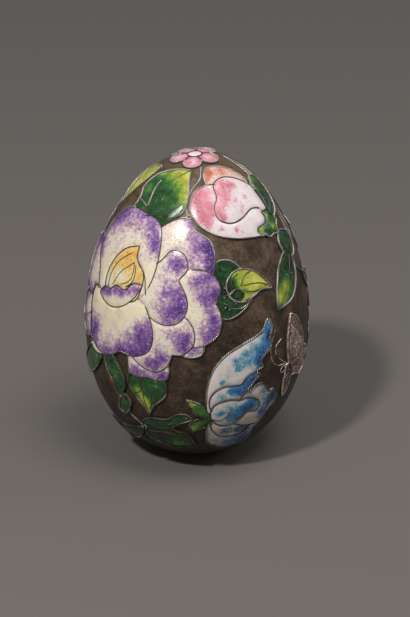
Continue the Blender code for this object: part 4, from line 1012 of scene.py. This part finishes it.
lay_lines("feelers", RIGHT, [(
    RIGHT,
    [(-6.5, 3), (-8.5, -2), (-8.5, -6), (-6, -9.5), (-1, -10.5)],
    [(-4, -1), (-6.5, -3), (-6, -6), (-3, -9), (-0.5, -10.3)],
    [(-1, -11), (-2.6, -11), (-3.6, -12.2), (-2.6, -13.4), (-1.6, -12.6)])],
    flat_strip, rib_silver, RIB_THICKNESS)


# The back has one round flower with three leaves, of the same glass and wires as the front and
# plainer: five petals that run from cream to violet round an amber heart.
BACK = Plan(azimuth=176, rise=14, unit_angle=1.583)
back_flower = [disc(gold_glass, BACK, "back_flower_heart", "amber", (0.5, [], 0.3, 1.5), 5)]
back_flower += petal_ring("back_flower", BACK, "purple", peony_glass, (0.15, [], 0.6, 4.2),
                          90, 12.4, 10, 8.8)
back_flower += [
    leaf(BACK, "back_leaf_right", "green", (0.8, [(30, -22, 4, -0.35)]),
        [(12, -14), (20, -11.4), (28, -15), (34, -24)],
        [(34, -24), (25, -26), (17, -23.6), (12, -14)]),
    leaf(BACK, "back_leaf_left", "green", (0.8, [(-26, 26, 4, -0.35)]),
        [(-6, 10), (-12, 20), (-20, 26.6), (-30, 30)],
        [(-30, 30), (-28, 20), (-20, 12.6), (-6, 10)]),
    leaf(BACK, "back_leaf_low", "yellow_green", (0.45, [(-26, -26, 4, -0.3)]),
        [(-12, -15), (-14.6, -23), (-21.6, -28), (-29, -29)],
        [(-29, -29), (-27.4, -21), (-21, -15.6), (-12, -15)]),
]
motif("back_flower_wires", BACK, back_flower, veins=[
    (BACK,
     [(13, -15), (20, -17.6), (27, -20.4), (33, -23.6)],
     [(-9, 14), (-15, 19.6), (-22, 25), (-29, 29.4)],
     [(-13, -16), (-18.6, -20.6), (-23, -24.4), (-28, -28)]),
])


# Small sprigs fill the sides and the upper back: a five-petalled blossom, pointed leaves and
# tendrils of twisted wire laid straight on the metal, made as the front is and plainer.
def pointed_leaf(name, plan, foot, tip, half_width, wash):
    """Leaf between two points: its edges bow out by the half width a third of the way along."""
    foot, tip = np.array(foot, float), np.array(tip, float)
    aside = unit(tip - foot) @ [[0, 1], [-1, 0]] * half_width
    bows = ((0.0, 0.0), (0.16, 0.72), (0.38, 1.0), (0.7, 0.66), (1.0, 0.0))
    one = [foot + (tip - foot) * along + aside * bow for along, bow in bows]
    other = [foot + (tip - foot) * along - aside * bow for along, bow in bows[::-1]]
    return leaf(plan, name, "green", wash, one, other)


def sprig(name, plan, finish, slot, petal_length, leaves, tendrils, heart_size):
    """One blossom with its leaves and tendrils about the middle of a plan."""
    fields = [disc(gold_glass, plan, name + "_heart", "amber", (0.45, [], 0.3, 1), heart_size)]
    fields += petal_ring(name, plan, slot, finish, (0.12, [], 0.5, 1.6), 90,
                         petal_length * 1.25, petal_length, petal_length * 0.84)
    fields += [pointed_leaf("%s_leaf_%d" % (name, index + 1), plan, *shape,
                            (0.82, [(*shape[1], 3, -0.5)]))
               for index, shape in enumerate(leaves)]
    veins = [[foot, (np.array(foot) + tip) / 2, tip] for foot, tip, half_width in leaves]
    motif(name, plan, fields, veins=[(plan, *veins)])
    lay_lines(name + "_tendrils", plan, [(plan, *tendrils)])


sprig("right_sprig", Plan(azimuth=108, rise=10, unit_angle=1.6), rose_glass, "pink", 4.4,
      [((4, -9), (13, -19), 3.4), ((-5, -8), (-11, -17), 2.8), ((-7, 7), (-15, 15), 3)],
      [[(3, 9.5), (5, 14), (4, 19), (-1, 22.4), (-5, 20.4), (-4.4, 17), (-1.6, 17.4)],
       [(0, -10), (-1, -16), (2, -22), (7, -25.4), (10.6, -23.4), (9.4, -20.6)],
       [(-15, 15), (-19, 20), (-24, 21.4)], [(9.6, 2), (14, 3), (18, 0.6)]], 2.2)
sprig("left_sprig", Plan(azimuth=-114, rise=16, unit_angle=1.56), blue_glass, "sky_blue", 4.2,
      [((5, 8), (9, 18), 3), ((-8, 4), (-17, 8), 3), ((-3, -9.4), (-7, -20), 3.2)],
      [[(3, -9), (5, -15), (4, -21), (0, -25.6), (-4, -26), (-5, -22.6)],
       [(9, 18), (8, 23.4), (3, 27), (-2, 26.4), (-3.4, 23), (-0.6, 21.4)],
       [(-17, 8), (-20.6, 12), (-20, 17)]], 2)
sprig("upper_back_sprig", Plan(azimuth=196, rise=60, unit_angle=1.2), rose_glass, "pale_pink", 4.6,
      [((8, -6), (19, -11), 3.6), ((-9, -3), (-21, -3.4), 3.6)],
      [[(19, -11), (25, -11), (28.4, -6.6), (26, -2.6), (22.4, -4)],
       [(-21, -3.4), (-27, -1), (-29, 5), (-25, 8), (-22.6, 5)],
       [(0, 10.6), (2, 15), (6.4, 17)]], 2.2)


# The studio: a plain pale floor, a soft key light from the front left, a broad one overhead and a
# weak one from the right, and the camera of the photograph.
FLOOR_REACH = 6
floor_mesh = bpy.data.meshes.new("floor")
floor_mesh.from_pydata([(FLOOR_REACH * x, FLOOR_REACH * y, 0)
                        for x, y in ((-1, -1), (1, -1), (1, 1), (-1, 1))], [], [(0, 1, 2, 3)])
floor = bpy.data.objects.new("floor", floor_mesh)
bpy.context.scene.collection.objects.link(floor)
paper = Finish("floor_paper", Roughness=0.85, Base_Color=seen(103, 99, 96))
floor_mesh.materials.append(paper.material)

world = bpy.data.worlds.new("studio")
world.use_nodes = True
sky = world.node_tree.nodes["Background"]
sky.inputs["Color"].default_value = (0.94, 0.97, 1.0, 1)
sky.inputs["Strength"].default_value = 0.18
bpy.context.scene.world = world
bpy.context.scene.view_settings.view_transform = "Standard"


def soft_box(name, azimuth, elevation, distance, size, power, colour):
    """Square area light that faces the egg's middle."""
    lamp = bpy.data.lights.new(name, "AREA")
    lamp.size = size
    lamp.energy = power
    lamp.color = colour
    turn, lean = np.radians(azimuth), np.radians(elevation)
    back = np.array([np.sin(turn) * np.cos(lean), -np.cos(turn) * np.cos(lean), np.sin(lean)])
    side = unit(np.cross((0, 0, 1), back))
    place = np.eye(4)
    place[:3] = np.column_stack([side, np.cross(back, side), back,
                                 back * distance + (0, 0, MID_HEIGHT)])
    holder = bpy.data.objects.new(name, lamp)
    holder.matrix_world = Matrix(place.tolist())
    bpy.context.scene.collection.objects.link(holder)


soft_box("key", -30, 47, 1.2, 0.09, 9.8, (1.0, 0.965, 0.93))
soft_box("ceiling", 45, 70, 1.2, 0.6, 6.6, (1.0, 0.96, 0.91))
soft_box("rim", 105, 30, 1.3, 0.4, 1.7, (1.0, 0.97, 0.93))

CAMERA_RISE = np.radians(24)
CAMERA_ROLL = np.radians(-1.65)
CAMERA_AWAY = 0.85
LENS_LENGTH, FILM_WIDTH = 158.9, 36
# In pixels of the photograph: its height, and how far off its centre the lens looks.
PHOTO_HEIGHT = 617
LOOK_RIGHT, LOOK_UP = 7.92, -6.66
back = np.array([0, -np.cos(CAMERA_RISE), np.sin(CAMERA_RISE)])
right, up = np.array([1.0, 0, 0]), np.array([0, np.sin(CAMERA_RISE), np.cos(CAMERA_RISE)])
lens = bpy.data.cameras.new("camera")
lens.sensor_width = FILM_WIDTH
lens.lens = LENS_LENGTH
lens.shift_x = LOOK_RIGHT / PHOTO_HEIGHT
lens.shift_y = LOOK_UP / PHOTO_HEIGHT
place = np.eye(4)
place[:3] = np.column_stack([np.cos(CAMERA_ROLL) * right - np.sin(CAMERA_ROLL) * up,
                             np.sin(CAMERA_ROLL) * right + np.cos(CAMERA_ROLL) * up,
                             back, back * CAMERA_AWAY + (0, 0, MID_HEIGHT)])
camera = bpy.data.objects.new("camera", lens)
camera.matrix_world = Matrix(place.tolist())
bpy.context.scene.collection.objects.link(camera)
bpy.context.scene.camera = camera
